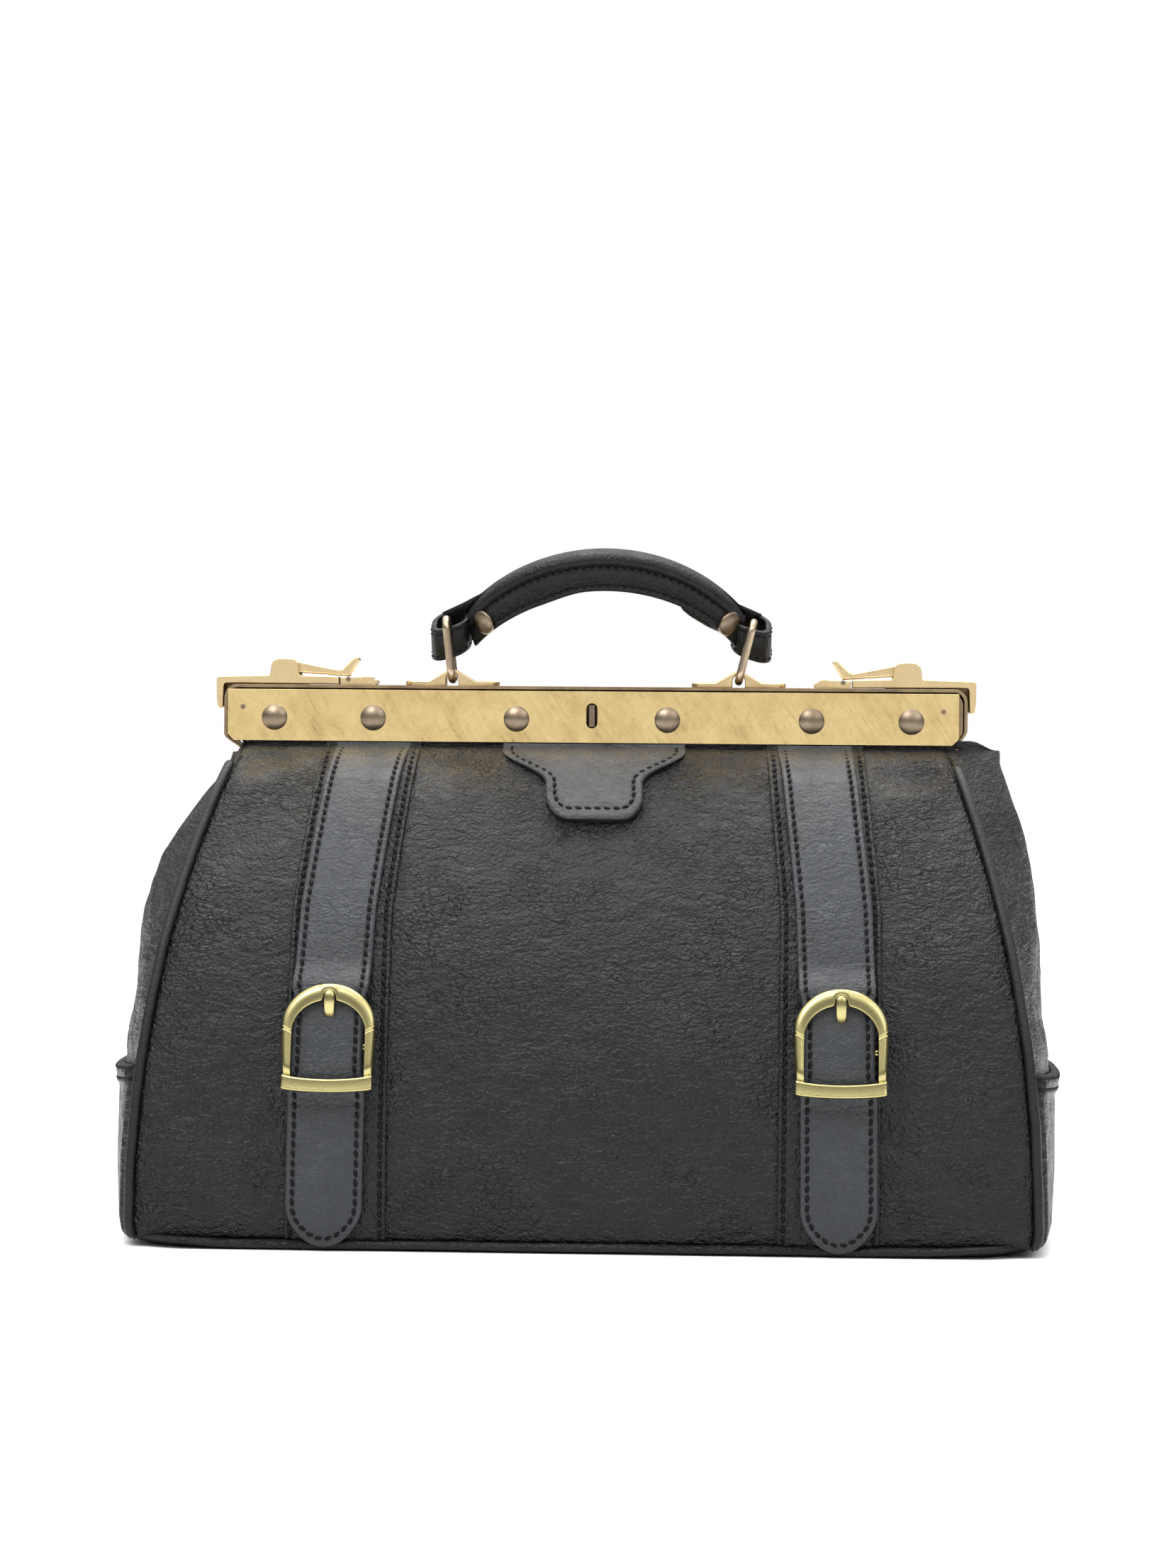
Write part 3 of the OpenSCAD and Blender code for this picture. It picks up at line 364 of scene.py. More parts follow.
def panel_drop(z):
    return 2.6 * (1 - smooth((np.asarray(z, float) - 128) / 30))


def panel_depth(x, z):
    """Half depth of the front panel: it falls back a little towards its seams, and tucks in at the foot
    and under the plate."""
    z = np.asarray(z, float)
    share = np.minimum(np.abs(x) / seam_at(z), 1)
    return depth_at(z) - panel_drop(z) * share**4 - 2.2 * np.maximum(1 - z / 7, 0) ** 2


def ridge(x, z, a, b, width, height):
    """Soft fold along the line from a to b."""
    ax, az = a
    dx, dz = b[0] - ax, b[1] - az
    t = np.clip(((x - ax) * dx + (z - az) * dz) / (dx * dx + dz * dz), 0, 1)
    d2 = (x - ax - t * dx) ** 2 + (z - az - t * dz) ** 2
    return height * np.exp(-d2 / width**2) * (0.4 + 0.6 * np.sin(np.pi * np.clip(t, 0.08, 0.92)))


FRONT_FOLDS = [((-131, 143), (-97, 157), 5.0, 1.3), ((-120, 159), (-96, 161), 4.0, -1.3),
               ((-134, 128), (-104, 141), 8.0, -0.5), ((97, 146), (122, 148), 4.5, 1.1),
               ((98, 154), (121, 155), 3.5, -1.3), ((104, 160), (121, 160), 2.5, 0.9),
               ((112, 139), (126, 152), 3.5, -0.6), ((-58, 150), (-24, 146), 9.0, 0.9),
               ((-55, 160), (-34, 160), 4.0, -0.7), ((32, 150), (60, 146), 8.0, 0.8),
               ((36, 159), (58, 160), 4.0, -0.7), ((-52, 132), (50, 127), 9.0, -0.45),
               ((-40, 96), (10, 88), 14.0, 0.5), ((10, 70), (52, 58), 14.0, 0.45),
               ((105, 100), (132, 84), 12.0, 0.6), ((-136, 92), (-108, 80), 11.0, 0.55),
               ((-20, 40), (40, 34), 16.0, -0.4)]


def panel_relief(x, z, side):
    """Wrinkles of a panel, outward. They die out at the seams, the foot, the plate and under the bands."""
    slow = fractal_grid(x / 46, z / 38, 3.1 * side)
    small = fractal_grid(x / 15, z / 9, 7.7 + side)
    out = 0.75 * slow + 0.16 * small * (0.4 + smooth((z - 120) / 40))
    if side < 0:
        for a, b, width, height in FRONT_FOLDS:
            out = out + ridge(x, z, a, b, width, height)
        flat = np.minimum(np.abs(np.abs(x) - band_x(z)) - BAND_W / 2, 8) / 8
        out = out * smooth(flat + 0.05)
    else:
        out = out + ridge(x, z, (-120, 150), (-70, 157), 6, 1.2) + ridge(x, z, (70, 157), (120, 149), 6, 1.2)
    edge = smooth((seam_at(z) - np.abs(x)) / 9)
    return out * edge * smooth((z - 3) / 10) * smooth((PLATE_FOOT - 1 - z) / 5)


def row_heights():
    """Heights of the rows, evenly spaced along the curve of the wall."""
    z = np.linspace(3.2, NECK_Z, 4000)
    arc = np.concatenate([[0], np.cumsum(np.hypot(np.diff(z), np.diff(depth_at(z))))])
    return np.interp(np.linspace(0, arc[-1], 132), arc, z)


def half_shell(side):
    """Points of one half of the body, relief included, as rows that run from the left gusset's centre line
    over the panel to the right gusset's."""
    zs = row_heights()
    core = np.arange(11.7, 147.4, 1.75)
    inset = np.array([e[0] for e in EDGE_STEPS] + list(core) + [PANEL_HALF])
    push = np.array([e[1] for e in EDGE_STEPS] + [0] * (len(core) + 1))
    g_core = np.linspace(10, 75, 30)[1:]
    g_inset = np.array([e[0] for e in EDGE_STEPS] + list(g_core))
    rows = []
    for z in zs:
        xs, d0 = float(seam_at(z)), float(panel_depth(seam_at(z), z))
        narrow = min(1.0, d0 / 26)

        def panel(sign):
            far = 10 / xs + (inset - 10) / (PANEL_HALF - 10) * (1 - 10 / xs)
            share = np.where(inset <= 10, inset / xs, far)
            x = sign * xs * (1 - share)
            return np.stack([x, -(panel_depth(x, z) - push * narrow), np.full_like(x, z)], axis=1)

        def gusset(sign):
            far = 10 * narrow + (g_inset - 10) / 65 * (d0 - 10 * narrow)
            e = np.where(g_inset <= 10, g_inset * narrow, far)
            y = d0 - e
            xm = float(gusset_mid(z, sign))
            x = xs + (xm - xs) * (1 - (y / d0) ** 2.2)
            p = np.concatenate([push[: len(EDGE_STEPS)], np.zeros(len(g_core))]) * narrow
            return np.stack([sign * (x - p), -y, np.full_like(x, z)], axis=1)

        def corner(sign):
            return np.array([[sign * (xs - 2.5 * narrow), -(d0 - 2.5 * narrow), z]])

        left, right = panel(-1), panel(1)
        row = [gusset(-1)[::-1], corner(-1), left[:-1], right[::-1], corner(1), gusset(1)]
        rows.append(np.concatenate(row))
    p = np.array(rows)
    n = grid_normals(p)
    relief = np.zeros(p.shape[:2])
    # columns: left gusset, a corner, the panel from a to b, a corner, right gusset
    a = len(g_inset) + 1
    b = a + len(left) - 1 + len(right)
    relief[:, a:b] = panel_relief(p[:, a:b, 0], p[:, a:b, 2], side)
    for sl, sign in ((slice(0, a - 1), -1), (slice(b + 1, p.shape[1]), 1)):
        y, z = p[:, sl, 1], p[:, sl, 2]
        slow = fractal_grid(y / 30, z / 34, 11.0 * sign + side)
        reach = depth_at(z)
        lumps = 1.5 * slow * smooth((reach + y) / 12)
        relief[:, sl] = lumps * smooth((z - 3) / 10) * smooth((NECK_Z - z) / 16)
        # crease where the base end pinches the gusset, and the fold of the closed frame on the centre line
        relief[:, sl] -= 0.9 * np.exp(-(((z - 60) / 4.5) ** 2)) * smooth((reach + y) / 12)
        relief[:, sl] -= 2.4 * np.exp(-((y / 5.0) ** 2)) * smooth((z - 96) / 40) * smooth((NECK_Z - z) / 8)
    p = p + n * relief[..., None]
    # last rows go up behind the plate
    top = p[-1].copy()
    behind = smooth((121 - np.abs(top[:, 0])) / 8)
    behind = np.maximum(behind, np.where(top[:, 0] > 0, 0.62 * smooth((137 - top[:, 0]) / 9), 0))
    rise = []
    for up in (1.2, 2.6, 5.0):
        q = top.copy()
        q[:, 2] += up * behind
        q[:, 1] = np.where(q[:, 1] < -7.0, -7.75, q[:, 1])
        rise.append(q)
    return np.concatenate([p, np.array(rise)])


def side_of(p, side):
    """Front grid turned into the back one."""
    return p if side < 0 else p * np.array([1, -1, 1])


def build_shells():
    for side, label in ((-1, "front"), (1, "back")):
        p = half_shell(side)
        n = grid_normals(p)
        inner = p - LEATHER_T * n
        inner[:, :, 1] = np.minimum(inner[:, :, 1], 0)
        outer = side_of(p, side)
        inner = side_of(inner, side)
        ob = thick_grid(label + "_leather", outer, inner, [LEATHER, EDGE, EDGE], grid_uv(p), flip=side > 0)
        names = ("panel_lower", "panel_upper", "left_gusset", "right_gusset")
        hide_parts(*[f"{label}_{s}" for s in names])
        if side < 0:
            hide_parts("left_gusset_lower", "right_gusset_lower")
        blend_weights(ob)
        cloth_outer = side_of(p - LINING_FRONT * n, side)[:-2]
        cloth_inner = side_of(p - LINING_BACK * n, side)[:-2]
        for grid in (cloth_outer, cloth_inner):
            grid[:, :, 1] = np.minimum(grid[:, :, 1], -0.05) if side < 0 else np.maximum(grid[:, :, 1], 0.05)
        cloth = thick_grid(label + "_lining", cloth_outer[:, ::2], cloth_inner[:, ::2], [LINING],
                           grid_uv(p)[:-2, ::2], flip=side > 0)
        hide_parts("lining")
        blend_weights(cloth)


build_shells()


# ---- piping --------------------------------------------------------------------------------
def tube(name, path, radius, mat, taper, sides=12):
    """Round tube along a list of points, closed at both ends."""
    path = np.asarray(path, float)
    tangent = np.gradient(path, axis=0)
    tangent /= np.linalg.norm(tangent, axis=1, keepdims=True)
    ref = np.array([0.31, 0.45, 0.2]) if abs(tangent[0][2]) > 0.5 else np.array([0, 0, 1.0])
    u = np.cross(tangent, ref)
    u /= np.linalg.norm(u, axis=1, keepdims=True)
    v = np.cross(tangent, u)
    t = np.linspace(0, 2 * np.pi, sides, endpoint=False)
    r = np.full(len(path), radius)
    r[[0, -1]] *= 1 - taper
    round_it = np.cos(t)[None, :, None] * u[:, None] + np.sin(t)[None, :, None] * v[:, None]
    rings = path[:, None] + r[:, None, None] * round_it
    faces = closed_faces(len(path), sides)
    arc = run_length(path)
    uv = np.stack(np.meshgrid(t * radius / 10, arc / 10), axis=2).reshape(-1, 2)
    return make(name, rings.reshape(-1, 3), faces, [mat], uv)


def build_piping():
    zs = row_heights()
    zs = zs[zs < 158]
    for side, label in ((-1, "front"), (1, "back")):
        for sign, hand in ((-1, "left"), (1, "right")):
            path = []
            for z in zs:
                xs = float(seam_at(z))
                d = float(panel_depth(xs, z))
                wander = 0.25 * fractal((z / 18, sign * 5, side * 3), 2)
                path.append((sign * (xs - 0.35 + wander), side * (d - 0.35 + wander), z))
            ob = tube(f"{label}_{hand}_piping", path, 1.75, PIPING, taper=0.4)
            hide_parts(f"{label}_piping_lower", f"{label}_piping_upper")
            blend_weights(ob)


build_piping()


# ---- flat leather pieces on the front panel ------------------------------------------------
def on_panel(x, z, off):
    """Point that lies off millimetres outside the front panel."""
    d = panel_depth(x, z)
    slope = (panel_depth(x, z + 0.4) - panel_depth(x, z - 0.4)) / 0.8
    scale = np.minimum(1 / np.sqrt(1 + slope**2), 1.0)
    ny, nz = -scale, -slope * scale
    nz = np.where(z > 150, nz * np.clip((164 - z) / 14, 0, 1), nz)
    return np.stack([x, -d + ny * off, z + nz * off], axis=-1)


def slab(name, zs, centre, half, base, thick, mats, groove, dome=0.0, round_foot=True, cols_mid=9,
         edge_r=0.7):
    """A strip of leather on the panel: rows at zs, middle line centre(z), half width half(z), underside
    base(z) off the panel. The edge is rounded, and a groove runs under the stitches at that distance from
    the edge."""
    marks = [0, 0.25 * edge_r, edge_r * 0.6, edge_r * 1.1]
    marks += [groove - 0.75, groove - 0.35, groove, groove + 0.35, groove + 0.75]
    reach = marks[-1] + 0.8
    cx = np.array([float(centre(z)) for z in zs])
    hw = np.array([float(half(z)) for z in zs])
    outline = np.array([(c + h, z) for c, h, z in zip(cx, hw, zs)]
                       + [(c - h, z) for c, h, z in zip(cx[::-1], hw[::-1], zs[::-1])])
    a, b = outline, np.roll(outline, -1, axis=0)
    rows = []
    for z, c, h in zip(zs, cx, hw):
        k = min(1.0, h / (reach + 1.2))
        left = [c - h + m * k for m in marks]
        mid = list(np.linspace(c - h + reach * k, c + h - reach * k, cols_mid))
        rows.append(left + mid + [c + h - m * k for m in marks[::-1]])
    x = np.array(rows)
    z = np.repeat(np.asarray(zs, float)[:, None], x.shape[1], axis=1)
    # true distance to the outline, which rounds the edge at a tip as well
    ab = b - a
    length2 = np.maximum((ab**2).sum(1), 1e-9)
    pts = np.stack([x.ravel(), z.ravel()], axis=1)
    dist = np.full(len(pts), 1e9)
    for i in range(len(a)):
        if i == len(a) // 2 - 1 or i == len(a) - 1 and not round_foot:
            continue
        t = np.clip(((pts - a[i]) @ ab[i]) / length2[i], 0, 1)
        dist = np.minimum(dist, np.linalg.norm(pts - a[i] - t[:, None] * ab[i], axis=1))
    dist = dist.reshape(x.shape)
    rim = np.sqrt(np.clip(1 - (1 - np.clip(dist / edge_r, 0, 1)) ** 2, 0, 1))
    height = thick * (0.62 + 0.38 * rim)
    across = np.abs(x - cx[:, None]) / np.maximum(hw[:, None], 0.1)
    height = height + dome * (1 - np.clip(across, 0, 1) ** 2)
    height = height - 0.5 * np.exp(-(((dist - groove) / 0.5) ** 2))
    off = base(z)
    top = on_panel(x, z, off + height)
    foot = on_panel(x, z, off)
    return thick_grid(name, top, foot, mats, grid_uv(top))


STITCH_PITCH = 3.1


def stitch_mesh(name, rows, mat, length=2.5, radius=0.55, slant=0.0):
    """Thread stitches. rows: lists of (point, direction, normal), one for each stitch."""
    rings, sides = 5, 6
    verts, faces = [], []
    for row in rows:
        for point, direction, normal in row:
            d = np.asarray(direction, float)
            d /= np.linalg.norm(d)
            n = np.asarray(normal, float)
            n = n - d * (n @ d)
            n /= np.linalg.norm(n)
            s = np.cross(d, n)
            d = d * math.cos(slant) + s * math.sin(slant)
            s = np.cross(d, n)
            start = len(verts)
            for i in range(rings):
                t = -1 + 2 * i / (rings - 1)
                r = radius * (0.35 + 0.65 * math.sqrt(max(0, 1 - t * t)))
                arch = 0.28 * (1 - t * t) - 0.22
                centre = np.asarray(point) + d * (t * length / 2) + n * arch
                for k in range(sides):
                    q = 2 * math.pi * k / sides
                    verts.append(centre + r * (math.cos(q) * s * 1.1 + math.sin(q) * n * 0.8))
            faces += closed_faces(rings, sides, start)
    return make(name, verts, faces, [mat])


def along(path, pitch, normals=None):
    """Evenly spaced (point, direction, normal) along a list of points."""
    path = np.asarray(path, float)
    arc = run_length(path)
    count = max(1, int(arc[-1] / pitch))
    out = []
    for i in range(count):
        s = (i + 0.5) * arc[-1] / count
        p = np.array([np.interp(s, arc, path[:, k]) for k in range(3)])
        q = np.array([np.interp(s + 0.3, arc, path[:, k]) for k in range(3)])
        o = np.array([np.interp(s - 0.3, arc, path[:, k]) for k in range(3)])
        if normals is None:
            normal = np.array([0, -1, 0.0])
        else:
            normal = np.array([np.interp(s, arc, normals[:, k]) for k in range(3)])
        out.append((p, q - o, normal))
    return out


def panel_stitches(xz, off):
    """Stitch path on the panel through (x, z) points at height off(z), with the panel's normals."""
    xz = np.asarray(xz, float)
    h = np.array([off(z) for z in xz[:, 1]])
    p = on_panel(xz[:, 0], xz[:, 1], h)
    q = on_panel(xz[:, 0], xz[:, 1], h + 1)
    return along(p, STITCH_PITCH, q - p)


# room under a strap for its buckle's heel, height of its tip, and the stitch lines' distance from the edge
HEEL_ROOM, STRAP_TIP, STRAP_GROOVE, BAND_GROOVE = 3.8, 2.6, 2.3, 2.0
HARD_TOP = PLATE_FOOT - 0.35


def press(z):
    """How much of its thickness a piece keeps near the plate, which it goes under."""
    return 1 - 0.72 * smooth((np.asarray(z, float) - 157) / 8)


def strap_lift(z):
    z = np.asarray(z, float)
    return HEEL_ROOM * smooth((z - 47) / 9) * smooth((92 - z) / 9)


def mirrored(ob, name):
    """Copy of ob mirrored left to right."""
    copy = ob.copy()
    copy.data = ob.data.copy()
    copy.name = name
    copy.data.transform(Matrix.Scale(-1, 4, (1, 0, 0)))
    copy.data.flip_normals()
    scene.collection.objects.link(copy)
    return copy


def strap_half(z):
    """Half width of a strap: a round tip, and a little narrower behind the buckle."""
    reach = STRAP_W / 2
    if z < STRAP_TIP + reach:
        return max(0.35, math.sqrt(max(0.0, reach**2 - (reach - (z - STRAP_TIP)) ** 2)))
    return reach - 0.9 * smooth((z - 54) / 3) * smooth((83 - z) / 3)


def build_straps():
    band_zs = np.concatenate([np.linspace(3.4, 150, 92), np.linspace(151, HARD_TOP, 20)])
    strap_zs = np.concatenate([STRAP_TIP + 12.5 * (1 - np.cos(np.linspace(0.02, np.pi / 2, 18))),
                               np.linspace(16, 150, 100), np.linspace(151, HARD_TOP, 18)])

    def under_strap(z):
        return BAND_T * press(z) + 0.08 + strap_lift(z)

    band = slab("right_band", band_zs, band_x, lambda z: BAND_W / 2, lambda z: 0.05, BAND_T,
                [LEATHER, EDGE], BAND_GROOVE, round_foot=False)
    strap = slab("right_strap", strap_zs, strap_x, strap_half, under_strap, STRAP_T,
                 [STRAP, EDGE], STRAP_GROOVE, dome=0.25, cols_mid=13)
    for ob in (band, strap):
        squeeze_under_plate(ob)

    zs = np.linspace(4.5, HARD_TOP - 1, 120)
    lines = [[(band_x(z) + s * (BAND_W / 2 - BAND_GROOVE), z) for z in zs] for s in (-1, 1)]
    rows = [panel_stitches(line, lambda z: (BAND_T - 0.1) * press(z)) for line in lines]
    band_thread = stitch_mesh("right_band_thread", rows, THREAD, slant=0.42)

    def strap_face(z):
        return under_strap(z) + (STRAP_T + 0.02) * press(z)

    side_zs = np.linspace(STRAP_TIP + STRAP_W / 2, HARD_TOP - 1, 110)
    right = [(strap_x(z) + strap_half(z) - STRAP_GROOVE, z) for z in side_zs]
    left = [(strap_x(z) - strap_half(z) + STRAP_GROOVE, z) for z in side_zs]
    turn = np.linspace(0, np.pi, 30)[1:-1]
    tip_r = STRAP_W / 2 - STRAP_GROOVE
    tip = [(83 + tip_r * math.cos(-t), STRAP_TIP + STRAP_W / 2 - tip_r * math.sin(t)) for t in turn]
    rows = [panel_stitches(right[::-1] + tip + left, strap_face)]
    strap_thread = stitch_mesh("right_strap_thread", rows, THREAD, slant=0.3)
    for ob in (band_thread, strap_thread):
        squeeze_under_plate(ob)

    for ob in (band, strap, band_thread, strap_thread):
        twin = mirrored(ob, ob.name.replace("right", "left"))
        for piece, hand in ((ob, "right"), (twin, "left")):
            if "thread" in piece.name:
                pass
            elif "band" in piece.name:
                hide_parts(f"{hand}_band_lower", f"{hand}_band_upper")
            else:
                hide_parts(f"{hand}_strap_lower", f"{hand}_strap_upper")
            blend_weights(piece)


def squeeze_under_plate(ob):
    """Keeps what is just below the plate no prouder than its face."""
    for v in ob.data.vertices:
        z = v.co.z / MM
        t = smooth((z - 158) / 6.5)
        limit = -(9.3 + 13.5 * (1 - t) ** 0.8) * MM
        if t > 0 and v.co.y < limit:
            v.co.y = limit + (v.co.y - limit) * (1 - t) * 0.85


build_straps()


# half widths, height of the foot, radius of its corners, and the stitch line's distance from the edge
TAB_NECK, TAB_WIDE, TAB_FOOT, TAB_CORNER, TAB_GROOVE = 16.2, 31.0, 138.5, 8.0, 3.0


def tab_half(z):
    """Half width of the centre tab: hollow shoulders and a round foot."""
    if z < TAB_FOOT + TAB_CORNER:
        r = TAB_CORNER - (z - TAB_FOOT)
        base = TAB_NECK - TAB_CORNER
        return base + math.sqrt(max(0.0, TAB_CORNER**2 - r * r)) if z > TAB_FOOT else base
    low, high = 149.5, 162.5
    t = np.clip((z - low) / (high - low), 0, 1)
    flare = 0.5 - 0.5 * math.cos(math.pi * t)
    return TAB_NECK + (TAB_WIDE - TAB_NECK) * flare**1.25


def build_tab():
    foot_zs = TAB_FOOT + TAB_CORNER * (1 - np.cos(np.linspace(0.0, np.pi / 2, 14)))
    zs = np.concatenate([foot_zs, np.linspace(147.2, HARD_TOP, 44)])

    def middle(z):
        return 1.9 * (PLATE_FOOT - z) / 27

    tab = slab("centre_tab_leather", zs, middle, tab_half, lambda z: 0.1, 3.0,
               [TAB, EDGE], TAB_GROOVE, dome=0.2, cols_mid=21, edge_r=0.9)
    squeeze_under_plate(tab)
    side = [(tab_half(z) - TAB_GROOVE, z) for z in np.linspace(TAB_FOOT + TAB_CORNER, HARD_TOP - 0.8, 40)]
    turn_r = TAB_CORNER - TAB_GROOVE
    foot = [(TAB_NECK - TAB_CORNER + turn_r * math.cos(t), TAB_FOOT + TAB_CORNER - turn_r * math.sin(t))
            for t in np.linspace(0, np.pi / 2, 10)]
    path = side[::-1] + foot + [(-x, z) for x, z in foot[::-1]] + [(-x, z) for x, z in side]
    path = [(x + middle(z), z) for x, z in path]
    thread = stitch_mesh("centre_tab_thread", [panel_stitches(path, lambda z: 3.05)], THREAD, slant=0.2)
    squeeze_under_plate(thread)
    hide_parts("centre_tab")
    for ob in (tab, thread):
        blend_weights(ob)


build_tab()


# ---- base ----------------------------------------------------------------------------------
def superround(t, w, d, r):
    """Point on a rectangle with round corners, at turn t in 0..1."""
    sx, sy = w / 2 - r, d / 2 - r
    parts = [2 * sy, math.pi * r / 2, 2 * sx, math.pi * r / 2] * 2
    total = sum(parts)
    s = (t % 1.0) * total
    corners = [(sx, sy, 0), (-sx, sy, 90), (-sx, -sy, 180), (sx, -sy, 270)]
    runs = [((w / 2, -sy), (0, 1)), ((sx, d / 2), (-1, 0)), ((-w / 2, sy), (0, -1)), ((-sx, -d / 2), (1, 0))]
    for i in range(4):
        if s <= parts[2 * i]:
            (x, y), (dx, dy) = runs[i]
            return x + dx * s, y + dy * s, math.radians(90 * i)
        s -= parts[2 * i]
        if s <= parts[2 * i + 1]:
            cx, cy, a0 = corners[i]
            a = math.radians(a0) + s / r
            return cx + r * math.cos(a), cy + r * math.sin(a), a
        s -= parts[2 * i + 1]
    return w / 2, -sy, 0.0


# rings of the base leather from its underside round the edge: distance in from the edge, height
BASE_PROFILE = [(60, 0.0), (9, 0.0), (4, 0.0), (1.6, 0.25), (0.35, 0.9), (0.0, 1.7), (0.2, 2.6), (0.9, 3.15),
                (2.6, 3.3), (6, 3.0), (20, 2.6), (60, 2.4)]
# in the photo the base is narrower than its drawn width, by these amounts to the right and the left
BASE_WIDE, BASE_DEEP, BASE_CORNER, TRIM_RIGHT, TRIM_LEFT = 309, 162, 21, 3.9, 1.6


def build_base():
    """Base leather: flat where it stands, with a wavy raw edge that stands out below the seam."""
    n = 560
    rings = []
    for inset, level in BASE_PROFILE:
        ring = []
        for i in range(n):
            x, y, a = superround(i / n, BASE_WIDE, BASE_DEEP, BASE_CORNER)
            wave = fractal((x / 17, y / 17, 2.0), 3)
            slow = 0.5 + 0.5 * fractal((x / 46 + 3, y / 46, 9.0), 2)
            corner = smooth((abs(x) - 110) / 34)
            curl = (0.9 * slow + 2.2 * corner) * smooth((9 - inset) / 9)
            out = 0.45 * wave if inset < 4 else 0
            lift = curl * (1 - 0.5 * min(level / 3.3, 1))
            tuck = inset - out + 2.0 * smooth((abs(x) - 128) / 18)
            px = (x - math.cos(a) * tuck) * (1 - (TRIM_RIGHT if x > 0 else TRIM_LEFT) / (BASE_WIDE / 2))
            py = y - math.sin(a) * tuck
            ring.append((px, py, level + lift + (0.12 * wave if 0 < level < 3.4 and inset < 4 else 0)))
        rings.append(ring)
    p = np.array(rings)
    uv = p[:, :, :2].reshape(-1, 2) / 10 + p[:, :, 2:].reshape(-1, 1) / 10
    ob = make("base_leather", p.reshape(-1, 3), closed_faces(len(rings), n), [LEATHER], uv)
    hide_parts("base_panel")
    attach(ob, "bag")


build_base()


def gusset_x(y, z, sign):
    xs = seam_at(z)
    d = panel_depth(xs, z)
    return xs + (gusset_mid(z, sign) - xs) * (1 - np.clip(np.abs(y) / d, 0, 1) ** 2.2)


def build_base_ends():
    """Leather of the base turned up over each end, with a folded and stitched upper edge."""
    for sign, hand in ((-1, "left"), (1, "right")):
        profile = [(3.0, 0.4), (3.4, 1.6), (5.0, 2.1), (9, 2.1), (16, 2.05), (24, 2.0), (32, 2.0), (40, 2.0),
                   (49.0, 2.05), (50.4, 2.15), (50.9, 2.6), (51.6, 2.95), (52.4, 2.65), (53.4, 3.05),
                   (54.6, 3.15), (55.8, 3.05), (56.6, 2.6), (57.0, 1.9), (57.1, 0.9)]
        ys = np.linspace(-74.5, 74.5, 120)
        top, foot = [], []
        for z0, off in profile:
            slant = (1.6 * (ys / 75) ** 2 + 0.5 * np.sin(ys / 19)) * smooth((z0 - 20) / 28)
            z = z0 + slant
            reach = panel_depth(seam_at(z), z)
            y = np.clip(ys, -(reach - 2.6), reach - 2.6)
            edge = smooth((reach - np.abs(y) - 2.3) / 2.2)
            wave = np.array([0.35 * fractal((v / 24, z0 / 20, sign * 4), 2) for v in ys])
            x = gusset_x(y, z, sign)
            top.append(np.stack([sign * (x + 0.2 + (off + wave * 0.6) * (0.25 + 0.75 * edge)), y, z], axis=1))
            foot.append(np.stack([sign * (x + 0.1 + 0 * y), y, z], axis=1))
        top, foot = np.array(top), np.array(foot)
        ob = thick_grid(f"{hand}_base_end_leather", top, foot, [LEATHER, EDGE], grid_uv(top), flip=sign < 0)
        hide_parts(f"{hand}_base_end")
        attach(ob, "bag")
        rows = []
        for row, lift in ((12, 0.0), (15, -0.1)):
            path = top[row].copy()
            path[:, 0] += sign * lift
            rows.append(along(path[2:-2], STITCH_PITCH, np.tile([sign * 1.0, 0, 0], (len(path) - 4, 1))))
        thread = stitch_mesh(f"{hand}_base_end_thread", rows, THREAD)
        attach(thread, "bag")


build_base_ends()


# ---- metal parts whose edges are rounded -----------------------------------------------------
PULL_LEVELS = (170.5, 169.5, 168.5, 167.5, 166.5, 165.5, 164, 163, 162, 161, 160, 156, 152, 148, 144, 140,
               136, 132, 128)
BODY_OF = {node: body for body, nodes in frame["record"]["behaviour"]["bodies"].items() for node in nodes}


def rounded(node, mat, width, pull=None):
    """Copy of a CAD node with rounded edges, in its place; pull(points in mm) may reshape it."""
    me = NODES[node].data.copy()
    bm = bmesh.new()
    bm.from_mesh(me)
    bmesh.ops.remove_doubles(bm, verts=bm.verts, dist=2e-6)
    bmesh.ops.dissolve_limit(bm, angle_limit=math.radians(0.6), verts=bm.verts, edges=bm.edges)
    if pull:
        for level in PULL_LEVELS:
            every = bm.verts[:] + bm.edges[:] + bm.faces[:]
            bmesh.ops.bisect_plane(bm, geom=every, plane_co=(0, 0, level * MM), plane_no=(0, 0, 1))
        for v in bm.verts:
            v.co = Vector(pull(v.co / MM)) * MM
    bm.to_mesh(me)
    bm.free()
    me.materials.clear()
    me.materials.append(mat)
    ob = bpy.data.objects.new(node + "_metal", me)
    scene.collection.objects.link(ob)
    ob.data.polygons.foreach_set("use_smooth", [True] * len(ob.data.polygons))
    soften_edges(ob, width, 2, 38)
    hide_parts(node)
    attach(ob, BODY_OF[node])
    return ob


def soften_edges(ob, width, segments, angle):
    """Rounds the edges sharper than angle, and keeps the flats shaded flat."""
    bevel = ob.modifiers.new("edges", "BEVEL")
    bevel.width, bevel.segments = width * MM, segments
    bevel.limit_method, bevel.angle_limit = "ANGLE", math.radians(angle)
    ob.modifiers.new("normals", "WEIGHTED_NORMAL").weight = 100
    graph = bpy.context.evaluated_depsgraph_get()
    me = bpy.data.meshes.new_from_object(ob.evaluated_get(graph))
    ob.modifiers.clear()
    ob.data = me


